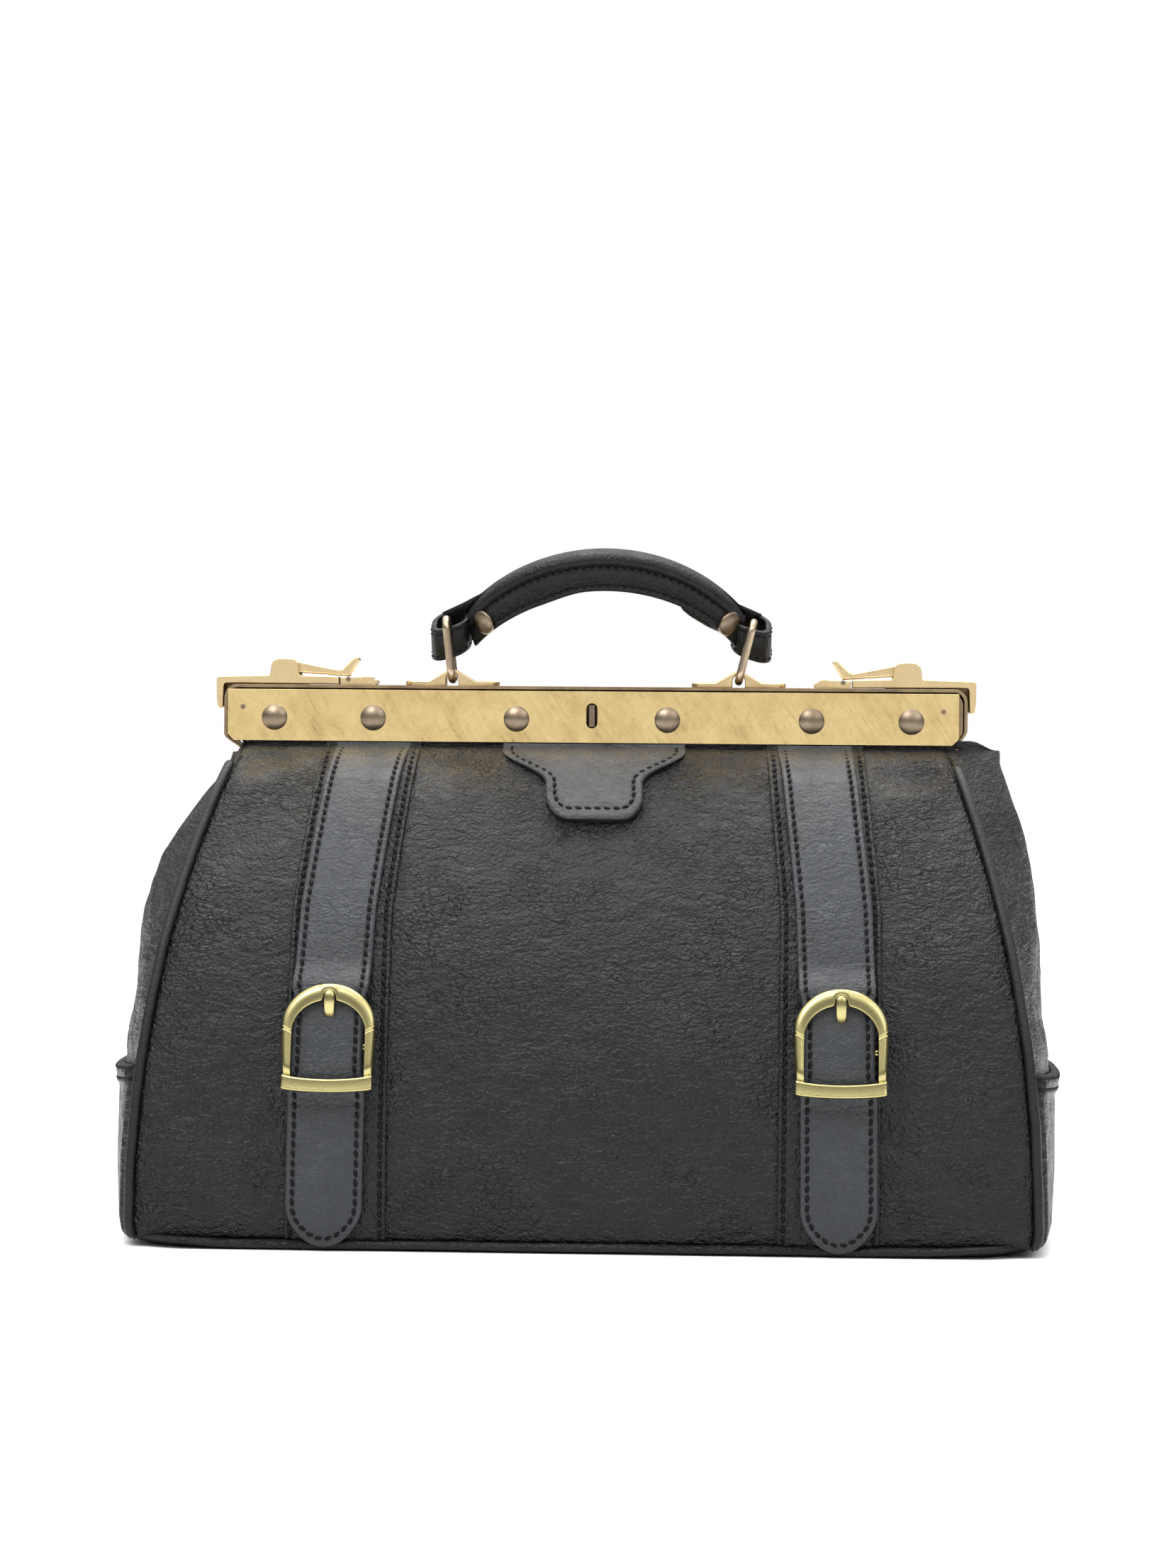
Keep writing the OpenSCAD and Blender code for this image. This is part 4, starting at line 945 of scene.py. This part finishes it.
def casting(name, sign, layers, bevel, node, mat=CAST_BRASS):
    """Cast piece from outlines in (x, z), each with its depth range, drawn for the right side."""
    verts, faces = [], []
    for outline, y0, y1 in layers:
        n, start = len(outline), len(verts)
        for y in (y0, y1):
            verts += [(sign * x, y, z) for x, z in outline]
        front = [start + i for i in range(n)]
        back = [start + n + i for i in range(n)]
        shell = [tuple(front), tuple(back[::-1])]
        shell += [(front[(i + 1) % n], front[i], back[i], back[(i + 1) % n]) for i in range(n)]
        faces += [f[::-1] for f in shell] if sign > 0 else shell
    ob = make(name, verts, faces, [mat])
    bm = bmesh.new()
    bm.from_mesh(ob.data)
    bmesh.ops.recalc_face_normals(bm, faces=bm.faces)
    bm.to_mesh(ob.data)
    bm.free()
    soften_edges(ob, bevel, 3, 50)
    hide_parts(node)
    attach(ob, BODY_OF[node])


def arc(cx, cz, r, a0, a1, n=7):
    turns = np.radians(np.linspace(a0, a1, n))
    return [(cx + r * math.cos(a), cz + r * math.sin(a)) for a in turns]


def build_latches():
    arm_foot, arm_head = 184.95, 187.65
    bar = [(87.8, arm_foot), (87.8, arm_head - 0.25), (100.4, arm_head)]
    end = [(112.4, arm_head + 0.05)] + arc(128.7, 186.15, 1.1, 90, 0)
    end += [(129.75, 180.0), (129.45, 177.4)] + arc(128.5, 177.3, 0.9, 0, -180, 6)
    end += [(127.45, 183.4)] + arc(126.4, 184.1, 1.05, 0, 90, 4)
    boss = arc(100.6, 188.65, 1.0, -90, 0, 4) + arc(104.3, 190.9, 2.5, 180, 90)
    boss += [(106.3, 193.5)] + arc(108.3, 190.7, 2.75, 90, 8) + arc(112.3, 188.65, 1.0, 180, 270, 4)
    lever = [(107.3, 187.0), (110.2, 188.4), (110.4, 191.2), (108.5, 193.1), (105.0, 193.35), (101.4, 192.5)]
    lever += [(94.0, 191.0), (88.2, 189.95), (86.9, 190.1), (82.9, 193.9)]
    lever += arc(82.0, 193.35, 0.95, 50, 215, 6)
    lever += [(84.3, 188.0), (84.9, 187.75), (92.0, 188.2), (92.6, 188.5), (93.4, 188.3), (101.0, 188.85)]
    lever += [(104.0, 187.9)]
    # painted shade: dark plate in the corner under the hook, a dark sheet where there is only the shade behind
    # the arm
    tongue = [(99.0, 185.3), (99.0, 184.75), (121.6, 184.75), (124.6, 183.6), (126.3, 181.6)]
    tongue += [(127.0, 179.8), (127.0, 176.9), (128.2, 176.9), (128.4, 184.6), (127.6, 185.4)]
    base = [(75.2, 184.65), (87.3, 184.65), (87.3, 187.1), (79.8, 187.3), (79.3, 187.55)]
    base += arc(77.6, 186.35, 1.25, 80, 175, 6) + [(76.2, 186.6), (75.0, 186.5), (74.5, 185.8)]
    knuckle = arc(77.4, 186.2, 1.35, 0, 360, 17)[:-1]
    # the arm's two cheeks carry the boss; the web between them is lower, to clear the lever
    arm, web = 5.3, 3.35
    whole = bar + boss + end
    filled = [(x, z - (0.35 if z < 185.6 and 88 <= x < 126 else 0)) for x, z in bar + end]
    arm_layers = [(whole, -arm, -web), (filled, -web, web), (whole, web, arm)]
    base_layers = [(base, -4.7, 4.7), (knuckle, -4.9, 4.9)]
    for sign, hand in ((1, "right"), (-1, "left")):
        casting(f"{hand}_latch_arm_cast", sign, arm_layers, 0.4, f"{hand}_latch_arm")
        # painted shade: dark brass plate filling the shaded corner between hook and frame
        casting(f"{hand}_latch_tongue", sign, [(tongue, 3.6, 5.0)], 0.15, f"{hand}_latch_arm", DARK_BRASS)
        casting(f"{hand}_latch_lever_cast", sign, [(lever, -3.2, 3.2)], 0.5, f"{hand}_latch_lever")
        casting(f"{hand}_latch_base_cast", sign, base_layers, 0.35, f"{hand}_latch_base")


build_latches()
for name in ("left_ring_mount", "right_ring_mount"):
    rounded(name, CAST_BRASS, 0.4)
for name in ("front_plate", "back_plate"):
    rounded(name, PLATE_BRASS, 0.28)
for name in ("front_rivets", "back_rivets"):
    rounded(name, RIVET_BRASS, 0.12)


# ---- buckles ---------------------------------------------------------------------------------
BUCKLE_X, BUCKLE_Z, BUCKLE_TILT = 82.5, 69.5, math.radians(13.119)
# the photo's buckles are bigger than the CAD's by these factors, and this much lower and to the right
BUCKLE_WIDER, BUCKLE_TALLER, BUCKLE_LOWER, BUCKLE_RIGHT = 1.025, 1.02, 0.8, 0.7
BUCKLE_Y = -(float(depth_at(BUCKLE_Z)) + BAND_T + STRAP_T + HEEL_ROOM + 0.55)


def on_strap(p, sign):
    """Point of the buckle's own frame (across, up, out) in the world."""
    p = np.asarray(p, float)
    s, c = math.sin(BUCKLE_TILT), math.cos(BUCKLE_TILT)
    x, up = p[..., 0] * BUCKLE_WIDER, p[..., 1] * BUCKLE_TALLER - BUCKLE_LOWER
    return np.stack([sign * (BUCKLE_X + x) + BUCKLE_RIGHT, BUCKLE_Y + up * s - p[..., 2] * c,
                     BUCKLE_Z + up * c + p[..., 2] * s], axis=-1)


def skin_rings(name, rings, mats, flip=False):
    """Closed solid through rings of points, with both ends capped."""
    rings = np.asarray(rings, float)
    rows, cols = rings.shape[:2]
    around = run_length(rings[rows // 2])
    lengthwise = run_length(rings.mean(axis=1))
    uv = np.stack(np.meshgrid(around * 0.1, lengthwise * 0.1), axis=2).reshape(-1, 2)
    return make(name, rings.reshape(-1, 3), closed_faces(rows, cols, flip=flip), mats, uv)


# cross-section of the arch, from its outer edge to its inner one: share of the width, height
ARCH_SECTION = [(0.0, 0.9), (0.02, 1.3), (0.07, 1.75), (0.15, 2.15), (0.25, 2.45), (0.36, 2.62), (0.5, 2.68),
                (0.66, 2.6), (0.82, 2.44), (0.9, 2.4), (0.94, 2.42), (0.98, 2.2), (1.0, 1.7), (1.0, 0.7),
                (0.93, 0.1), (0.5, 0.0), (0.07, 0.1), (0.0, 0.45)]


# the D: half widths outside and inside, and how far its feet bend down to the bar
D_OUTER, D_INNER, FOOT_DROP = 14.9, 11.5, 1.7


def buckle_arch():
    """Rings of the D, in the buckle's frame."""
    turn = np.concatenate([np.linspace(0, 78, 22), np.linspace(80.5, 99.5, 29), np.linspace(102, 180, 22)])
    foot = np.linspace(-15.2, 2.2, 16)
    outer, inner, drop = [], [], []
    for y in foot:
        taper = smooth((0.5 - y) / 16)
        outer.append((D_OUTER - 0.75 * taper, y + 1.3 * (y + 15.2) / 17.4))
        inner.append((D_INNER + 0.05 * taper, y - 0.5 * (y + 15.2) / 17.4))
        drop.append(FOOT_DROP * smooth((-9.5 - y) / 5.5))
    for a in np.radians(turn):
        outer.append((D_OUTER * math.cos(a), 3.5 + 14.0 * math.sin(a)))
        x, y = D_INNER * math.cos(a), 1.7 + 10.1 * math.sin(a)
        if abs(x) < 2.35 and y > 5:
            y += 2.75 * math.sqrt(max(0.0, 1 - (x / 2.35) ** 2)) ** 0.8
        inner.append((x, y))
        drop.append(0.0)
    for (x, y), (u, v), d in zip(outer[15::-1], inner[15::-1], drop[15::-1]):
        outer.append((-x, y))
        inner.append((-u, v))
        drop.append(d)
    rings = []
    for (ox, oy), (ix, iy), d in zip(outer, inner, drop):
        ring = []
        for t, h in ARCH_SECTION:
            level = h * (1 - 0.25 * d / FOOT_DROP) - d * (0.6 + 0.4 * (1 - t))
            ring.append((ox + (ix - ox) * t, oy + (iy - oy) * t, level))
        rings.append(ring)
    return rings


def buckle_bar():
    """Rings of the flat bar across the foot of the D."""
    section = [(-0.5, 0.3), (-0.5, 0.72), (-0.46, 0.9), (-0.40, 1.0), (-0.33, 0.985), (0, 0.97),
               (0.33, 0.985), (0.40, 1.0), (0.46, 0.9), (0.5, 0.72), (0.5, 0.3), (0.42, 0.0), (0, 0),
               (-0.42, 0)]
    rings = []
    half = 14.0
    xs = np.concatenate([[-half - 0.32, -half - 0.22], np.linspace(-half, half, 41),
                         [half + 0.22, half + 0.32]])
    for x in xs:
        t = 1 - min(1.0, abs(x) / half) ** 2
        shrink = 1.0 if abs(x) <= half else (0.93 if abs(x) < half + 0.3 else 0.8)
        tall = (4.75 - 0.45 * t) * shrink
        middle = -14.35 - 1.25 * t ** 0.8
        base, thick = 0.7 + 0.55 * t, 2.35 * shrink
        rings.append([(x, middle + a * tall, base + b * thick) for a, b in section])
    return rings


def prong_rings():
    """Flat tongue from the heel bar up through the strap to the notch, with a round tip."""
    route = [(-2.0, -5.4), (1.0, -5.3), (4.0, -4.6), (6.0, -3.0), (7.2, -1.2), (7.9, 0.0), (8.8, 1.05),
             (10.2, 1.75), (11.8, 2.1), (13.2, 2.35), (14.0, 2.4), (14.5, 2.35), (14.85, 2.25)]
    wide = [1.0] * 9 + [0.98, 0.86, 0.62, 0.25]
    rings = []
    route = np.array(route)
    tangent = np.gradient(route, axis=0)
    tangent /= np.linalg.norm(tangent, axis=1, keepdims=True)
    for (y, z), (ty, tz), w in zip(route, tangent, wide):
        ring = []
        for k in range(14):
            a = 2 * math.pi * k / 14
            across = 1.72 * w * math.copysign(abs(math.cos(a)) ** 0.6, math.cos(a))
            out = 0.85 * (0.6 + 0.4 * w) * math.copysign(abs(math.sin(a)) ** 0.75, math.sin(a))
            ring.append((across, y - tz * out, z + ty * out))
        rings.append(ring)
    return rings


def circle(n):
    return np.linspace(0, 2 * math.pi, n, endpoint=False)


def build_buckles():
    heel = -4.55
    for sign, hand in ((1, "right"), (-1, "left")):
        flip = sign < 0
        parts = [skin_rings(f"{hand}_buckle_arch", on_strap(buckle_arch(), sign), [BUCKLE_BRASS], flip),
                 skin_rings(f"{hand}_buckle_bar", on_strap(buckle_bar(), sign), [BUCKLE_BRASS], not flip)]
        for s, letter in ((-1, "a"), (1, "b")):
            oval = [(s * 13.2 + 1.1 * math.cos(a), -2 + 2.0 * math.sin(a)) for a in circle(14)]
            post = [[(x, y, z) for x, y in oval] for z in (heel - 0.9, -2, 1.4)]
            parts.append(skin_rings(f"{hand}_buckle_post_{letter}", on_strap(post, sign), [BUCKLE_BRASS],
                                    flip))
        ring = [(-2 + 0.95 * math.cos(a), heel + 0.95 * math.sin(a)) for a in circle(12)]
        rod = [[(x, y, z) for y, z in ring] for x in np.linspace(-13, 13, 8)]
        parts.append(skin_rings(f"{hand}_buckle_heel", on_strap(rod, sign), [BUCKLE_BRASS], flip))
        for ob in parts:
            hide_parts(f"{hand}_buckle_frame")
            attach(ob, "bag")
        prong = skin_rings(f"{hand}_prong_metal", on_strap(prong_rings(), sign), [BUCKLE_BRASS], not flip)
        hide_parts(f"{hand}_prong")
        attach(prong, f"{hand}_prong")


build_buckles()


# ---- handle ----------------------------------------------------------------------------------
HANDLE_X, HANDLE_Z, HANDLE_LEAN = 1.6, 199.4, math.radians(28)
RIVET_X = 42.2


def leaned(p):
    """Point of the handle's own frame (across, back, up) in the world."""
    p = np.asarray(p, float)
    s, c = math.sin(HANDLE_LEAN), math.cos(HANDLE_LEAN)
    return np.stack([p[..., 0] + HANDLE_X, p[..., 1] * c - p[..., 2] * s,
                     HANDLE_Z + p[..., 1] * s + p[..., 2] * c], axis=-1)


def grip_bend(x):
    """How far the grip's ends swing back to meet the loops."""
    t = np.maximum(np.abs(x) - 35, 0) / 9.6
    return 5.0 * t**1.7


def grip_edges(s):
    """Lower and upper edge of the grip at s from -1 to 1, in (x, v)."""
    bx, tx = 44.6 * s, 48.3 * s
    shift = 2.1 - 0.6 * s * s
    thinner = 1.4 * smooth((bx + 22) / 16) - 0.5 * smooth((bx - 28) / 16)
    low = np.array([bx + shift, thinner - 40.1 + math.sqrt(60.1**2 - bx**2)])
    high = np.array([tx + shift, -26.1 + math.sqrt(61.5**2 - tx**2)])
    return low, high


# cross-section: distance back from the middle plane, and height above the lower edge; in GRIP_TOP the height
# is measured from the upper edge
GRIP_SECTION = [(3.0, 0.0), (0.0, -0.15), (-3.0, 0.05), (-3.9, 0.45), (-4.15, 1.1), (-4.05, 1.7), (-3.7, 2.2),
                (-4.05, 2.7), (-4.2, 3.4)]
GRIP_TOP = [(-4.25, -7.2), (-4.2, -6.0), (-4.0, -5.4), (-3.6, -4.9), (-3.7, -4.45), (-4.25, -3.9),
            (-4.6, -3.2), (-4.7, -2.5), (-4.35, -1.6), (-3.6, -0.85), (-2.5, -0.3), (-1.2, -0.05), (0.2, 0.0),
            (1.6, -0.2), (2.8, -0.65), (3.6, -1.4), (3.95, -2.4), (3.8, -3.4), (3.4, -4.2), (3.1, -4.8),
            (3.35, -5.6), (3.6, -6.6)]
GRIP_BACK = [(3.65, 4.0), (3.5, 2.8), (3.2, 2.2), (3.5, 1.6), (3.5, 0.7)]


def grip_ring(s, shrink=1.0):
    low, high = grip_edges(s)
    axis = high - low
    tall = np.linalg.norm(axis)
    axis = axis / tall
    ring = []
    for w, r in GRIP_SECTION + [(w, tall + r) for w, r in GRIP_TOP] + GRIP_BACK:
        r = tall / 2 + (r - tall / 2) * shrink
        x, v = low + axis * r
        back = grip_bend(x - 2) * (1 if w < 1 else 0.5)
        depth = (w + 0.4) * shrink - 0.4
        ring.append((x, depth + back * math.cos(HANDLE_LEAN), v - back * math.sin(HANDLE_LEAN)))
    return ring


def on_grip(s, w, from_low=None, from_top=None):
    low, high = grip_edges(s)
    axis = high - low
    tall = np.linalg.norm(axis)
    x, v = low + axis / tall * (from_low if from_low is not None else tall - from_top)
    back = grip_bend(x - 2) * (1 if w < 1 else 0.5)
    return x, w + back * math.cos(HANDLE_LEAN), v - back * math.sin(HANDLE_LEAN)


def build_handle():
    stations = [(-1.0, 0.9), (-0.997, 0.97)] + [(s, 1.0) for s in np.linspace(-0.985, 0.985, 90)]
    stations += [(0.997, 0.97), (1.0, 0.9)]
    grip = skin_rings("handle_grip_leather", leaned([grip_ring(s, k) for s, k in stations]), [HANDLE])
    rows = []
    for w, low, top in ((-3.75, 2.2, None), (-3.7, None, 4.9), (3.25, 2.2, None), (3.15, None, 4.8)):
        reach = 0.8 if w < 0 or low else 0.9
        path = leaned([on_grip(s, w, low, top) for s in np.linspace(-reach, reach, 160)])
        out = leaned([[0, math.copysign(1, w), 0]])[0] - leaned([[0, 0, 0]])[0]
        rows.append(along(path, 2.7, np.tile(out, (len(path), 1))))
    thread = stitch_mesh("handle_thread", rows, THREAD, length=2.0, radius=0.36, slant=0.25)
    for ob, slot in ((grip, "leather"), (thread, "thread")):
        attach(ob, "handle")
    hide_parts("handle_grip", "handle_core")

    for sign, hand in ((-1, "left"), (1, "right")):
        build_loop(sign, hand)

    sides = 32
    for sign, hand in ((-1, "left"), (1, "right")):
        turn = math.radians(44) * sign
        verts = []
        profile = [(4.45, 1.3), (4.45, 0.0), (4.3, -0.35), (3.85, -0.7), (3.3, -0.95), (2.6, -1.2),
                   (1.7, -1.4), (0.8, -1.5), (0.02, -1.52)]
        swing = float(grip_bend(RIVET_X))
        x0, w0, v0 = RIVET_X * sign + 2.1, -4.3 + swing * 0.88, 10.2 - swing * 0.47
        for r, h in profile:
            for k in range(sides):
                a = 2 * math.pi * k / sides
                u, v = r * math.cos(a), r * math.sin(a)
                verts.append((x0 + u * math.cos(turn) - h * math.sin(turn),
                              w0 + u * math.sin(turn) + h * math.cos(turn), v0 + v))
        faces = closed_faces(len(profile), sides, flip=True)
        ob = make(f"handle_rivet_{hand}", leaned(verts), faces, [RIVET_BRASS])
        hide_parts("handle_rivets")
        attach(ob, "handle")


LOOP_X, LOOP_HALF = 51.6, 5.9
# cross-section of the layer behind the grip: share of its half width, distance out
LAYER_SECTION = [(-1, 0), (-0.97, 0.6), (-0.86, 0.95), (-0.7, 0.8), (0, 1.0), (0.7, 0.8), (0.86, 0.95),
                 (0.97, 0.6), (1, 0), (0.97, -0.6), (0.86, -0.9), (0, -0.9), (-0.86, -0.9), (-0.97, -0.6)]


def build_loop(sign, hand):
    """Strip of leather folded round the ring, and its end that runs up behind the grip."""
    wide, deep, corner, wall = 13.8, 15.35, 5.5, 2.0
    middle_y = 6.425
    n = 72
    strip = [(0.0, -1.0), (-wall * 0.25, -0.99), (-wall * 0.5, -0.955), (-wall * 0.5, -0.9),
             (-wall * 0.5, -0.5), (-wall * 0.5, 0), (-wall * 0.5, 0.5), (-wall * 0.5, 0.9),
             (-wall * 0.5, 0.955), (-wall * 0.25, 0.99), (0, 1.0), (wall * 0.3, 0.985), (wall * 0.47, 0.94),
             (wall * 0.5, 0.86), (wall * 0.44, 0.72), (wall * 0.5, 0.6), (wall * 0.5, 0), (wall * 0.5, -0.6),
             (wall * 0.44, -0.72), (wall * 0.5, -0.86), (wall * 0.47, -0.94), (wall * 0.3, -0.985)]
    outline = [superround(i / n, wide - wall, deep - wall, corner - wall / 2) for i in range(n)]

    def on_loop(x, y, a, off, share):
        """Point off the middle of the wall, at a share of the half height; the loop hangs a little askew."""
        level = share * LOOP_HALF - 0.34 * (x + math.cos(a) * off) + 0.4
        return sign * (LOOP_X + x + math.cos(a) * off), middle_y + y + math.sin(a) * off, level

    rings = [[on_loop(*place, off, share) for off, share in strip] for place in outline]
    cols = len(strip)
    flip = sign < 0
    faces = grid_faces(n, cols, wrap=True, flip=flip)
    for c in range(cols):
        d = (c + 1) % cols
        f = ((n - 1) * cols + c, (n - 1) * cols + d, d, c)
        faces.append(f[::-1] if flip else f)
    lengthwise = run_length(np.array(outline)[:, :2])
    uv = np.stack(np.meshgrid(np.arange(cols) * 0.06, lengthwise / 10), axis=2).reshape(-1, 2)
    loop = make(f"{hand}_handle_loop", leaned(rings).reshape(-1, 3), faces, [HANDLE], uv)
    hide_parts(f"{hand}_handle_tab")
    rows = []
    for level in (0.72, -0.72):
        path = [on_loop(*place, 1.02, level) for place in outline]
        normals = [(sign * math.cos(a), math.sin(a), 0) for x, y, a in outline]
        rows.append(along(leaned(path), 2.8, leaned(normals) - leaned([[0, 0, 0]])))
    thread = stitch_mesh(f"{hand}_loop_thread", rows, THREAD, length=2.0, radius=0.34)

    # layer behind the grip: from the loop's back wall it closes in on the grip and ends in a round tip
    route = [(LOOP_X + 1.0, 12.9, 0.2, 5.9), (LOOP_X - 2.5, 12.7, 1.9, 6.1), (LOOP_X - 5.5, 11.0, 4.0, 6.3),
             (LOOP_X - 8.5, 8.6, 6.4, 6.5), (40.0, 7.0, 8.9, 6.5), (36.5, 6.1, 11.4, 6.3),
             (33.5, 5.6, 13.4, 6.0), (31.0, 5.3, 15.0, 5.4), (29.4, 5.2, 16.0, 4.4), (28.4, 5.15, 16.6, 3.0),
             (27.8, 5.1, 16.9, 1.2)]
    route = np.array(route)
    rings = []
    tangent = np.gradient(route[:, :3], axis=0)
    for (x, y, v, half), t in zip(route, tangent):
        flat = np.array([t[0], t[2]]) / math.hypot(t[0], t[2])
        up = np.array([flat[1], -flat[0]]) * (1 if flat[0] < 0 else -1)
        out = np.array([-t[1], t[0]]) / math.hypot(t[0], t[1])
        if out[1] < 0:
            out = -out
        ring = []
        for h, o in LAYER_SECTION:
            ring.append((sign * (x + up[0] * h * half + out[0] * o), y + out[1] * o, v + up[1] * h * half))
        rings.append(ring)
    layer = skin_rings(f"{hand}_handle_layer", leaned(rings), [HANDLE], flip=sign > 0)
    for ob, slot in ((loop, "leather"), (thread, "thread"), (layer, "leather")):
        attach(ob, "handle")
    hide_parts(f"{hand}_handle_tab")


build_handle()


# ---- materials on the CAD parts that stay ---------------------------------------------------
def dress(mat, *names):
    for name in names:
        me = NODES[name].data
        me.materials.clear()
        me.materials.append(mat)
        for poly in me.polygons:
            poly.material_index = 0


def pinched(p):
    """The bow's arms turn in behind the leather below the corners."""
    x, y, z = p
    if abs(x) > 100:
        reach, start = (6.3, 167.5) if x < 0 else (3.2, 170.5)
        x -= math.copysign(reach, x) * float(smooth((start - z) / 6) * smooth((z - 128) / 18))
    return x, y, z


for bow in ("front_bow", "back_bow"):
    rounded(bow, DARK_BRASS, 0.2, pull=pinched)
dress(RIVET_BRASS, "alignment_tongue", "latch_arm_pins", "left_lever_pin", "right_lever_pin",
      "frame_hinge_pins")
dress(RING_BRASS, "left_ring", "right_ring")
dress(STRAP, "buckle_chapes")
dress(EDGE, "base_board")


# ---- floor, light and camera -----------------------------------------------------------------
FOCAL_PIXELS, PHOTO_WIDTH, SENSOR = 5350, 1659, 36.0


def studio():
    n = Net("floor_pale", Roughness=0.6, Specular_IOR_Level=0.2)
    speck = n.noise(n.coords(scale=(3, 3, 3)), 5.0, 3.0)
    floor_mat = n.finish(Base_Color=n.mix(speck, (0.88, 0.88, 0.88, 1), (0.92, 0.92, 0.92, 1)))
    size = 30000
    corners = [(-size, -size, 0), (size, -size, 0), (size, size, 0), (-size, size, 0)]
    floor = make("floor", corners, [(0, 1, 2, 3)], [floor_mat], is_smooth=False)

    world = bpy.data.worlds.new("studio")
    scene.world = world
    sky = Net("sky", world)
    direction = sky.node("ShaderNodeTexCoord", out="Generated")
    height, toward = (sky.node("ShaderNodeSeparateXYZ", {"Vector": direction}, out=axis) for axis in "ZY")
    front = sky.ramp(toward, -0.6, -0.98, 0.10, 0.32, "SMOOTHSTEP")
    above = sky.ramp(height, 0.1, 0.8, 0.0, 2.1, "SMOOTHSTEP")
    glow = sky.math("ADD", front, above)
    seen = sky.node("ShaderNodeLightPath", out="Is Camera Ray")
    level = sky.node("ShaderNodeMapRange", {"Value": seen, "To Min": glow, "To Max": 1.0})
    sky.finish(Color=(1.0, 1.0, 1.0, 1), Strength=level)

    def area(name, place, size_x, size_y, power, aim=(0, 0, 0.1)):
        data = bpy.data.lights.new(name, "AREA")
        data.shape = "RECTANGLE"
        data.size, data.size_y = size_x, size_y
        data.energy = power
        ob = bpy.data.objects.new(name, data)
        scene.collection.objects.link(ob)
        ob.location = place
        ob.rotation_euler = (Vector(aim) - Vector(place)).to_track_quat("-Z", "Y").to_euler()

    area("key", (-0.55, -1.1, 1.35), 0.9, 0.7, 14)
    area("fill", (0.9, -1.0, 0.9), 0.7, 0.7, 4)
    area("top", (0.0, 0.15, 1.2), 1.0, 0.6, 11)

    cam_data = bpy.data.cameras.new("camera")
    cam_data.sensor_fit = "HORIZONTAL"
    cam_data.sensor_width = SENSOR
    cam_data.lens = FOCAL_PIXELS * SENSOR / PHOTO_WIDTH
    cam_data.clip_end = 100
    cam = bpy.data.objects.new("camera", cam_data)
    scene.collection.objects.link(cam)
    eye, aim = Vector((0.054, -1.299, 0.1517)), Vector((-0.0023, 0, 0.1514))
    cam.location = eye
    look = (aim - eye).to_track_quat("-Z", "Y").to_matrix().to_4x4()
    cam.rotation_euler = (look @ Matrix.Rotation(math.radians(0.5), 4, "Z")).to_euler()
    scene.camera = cam
    scene.view_settings.view_transform = "Standard"
    scene.view_settings.look = "None"


studio()
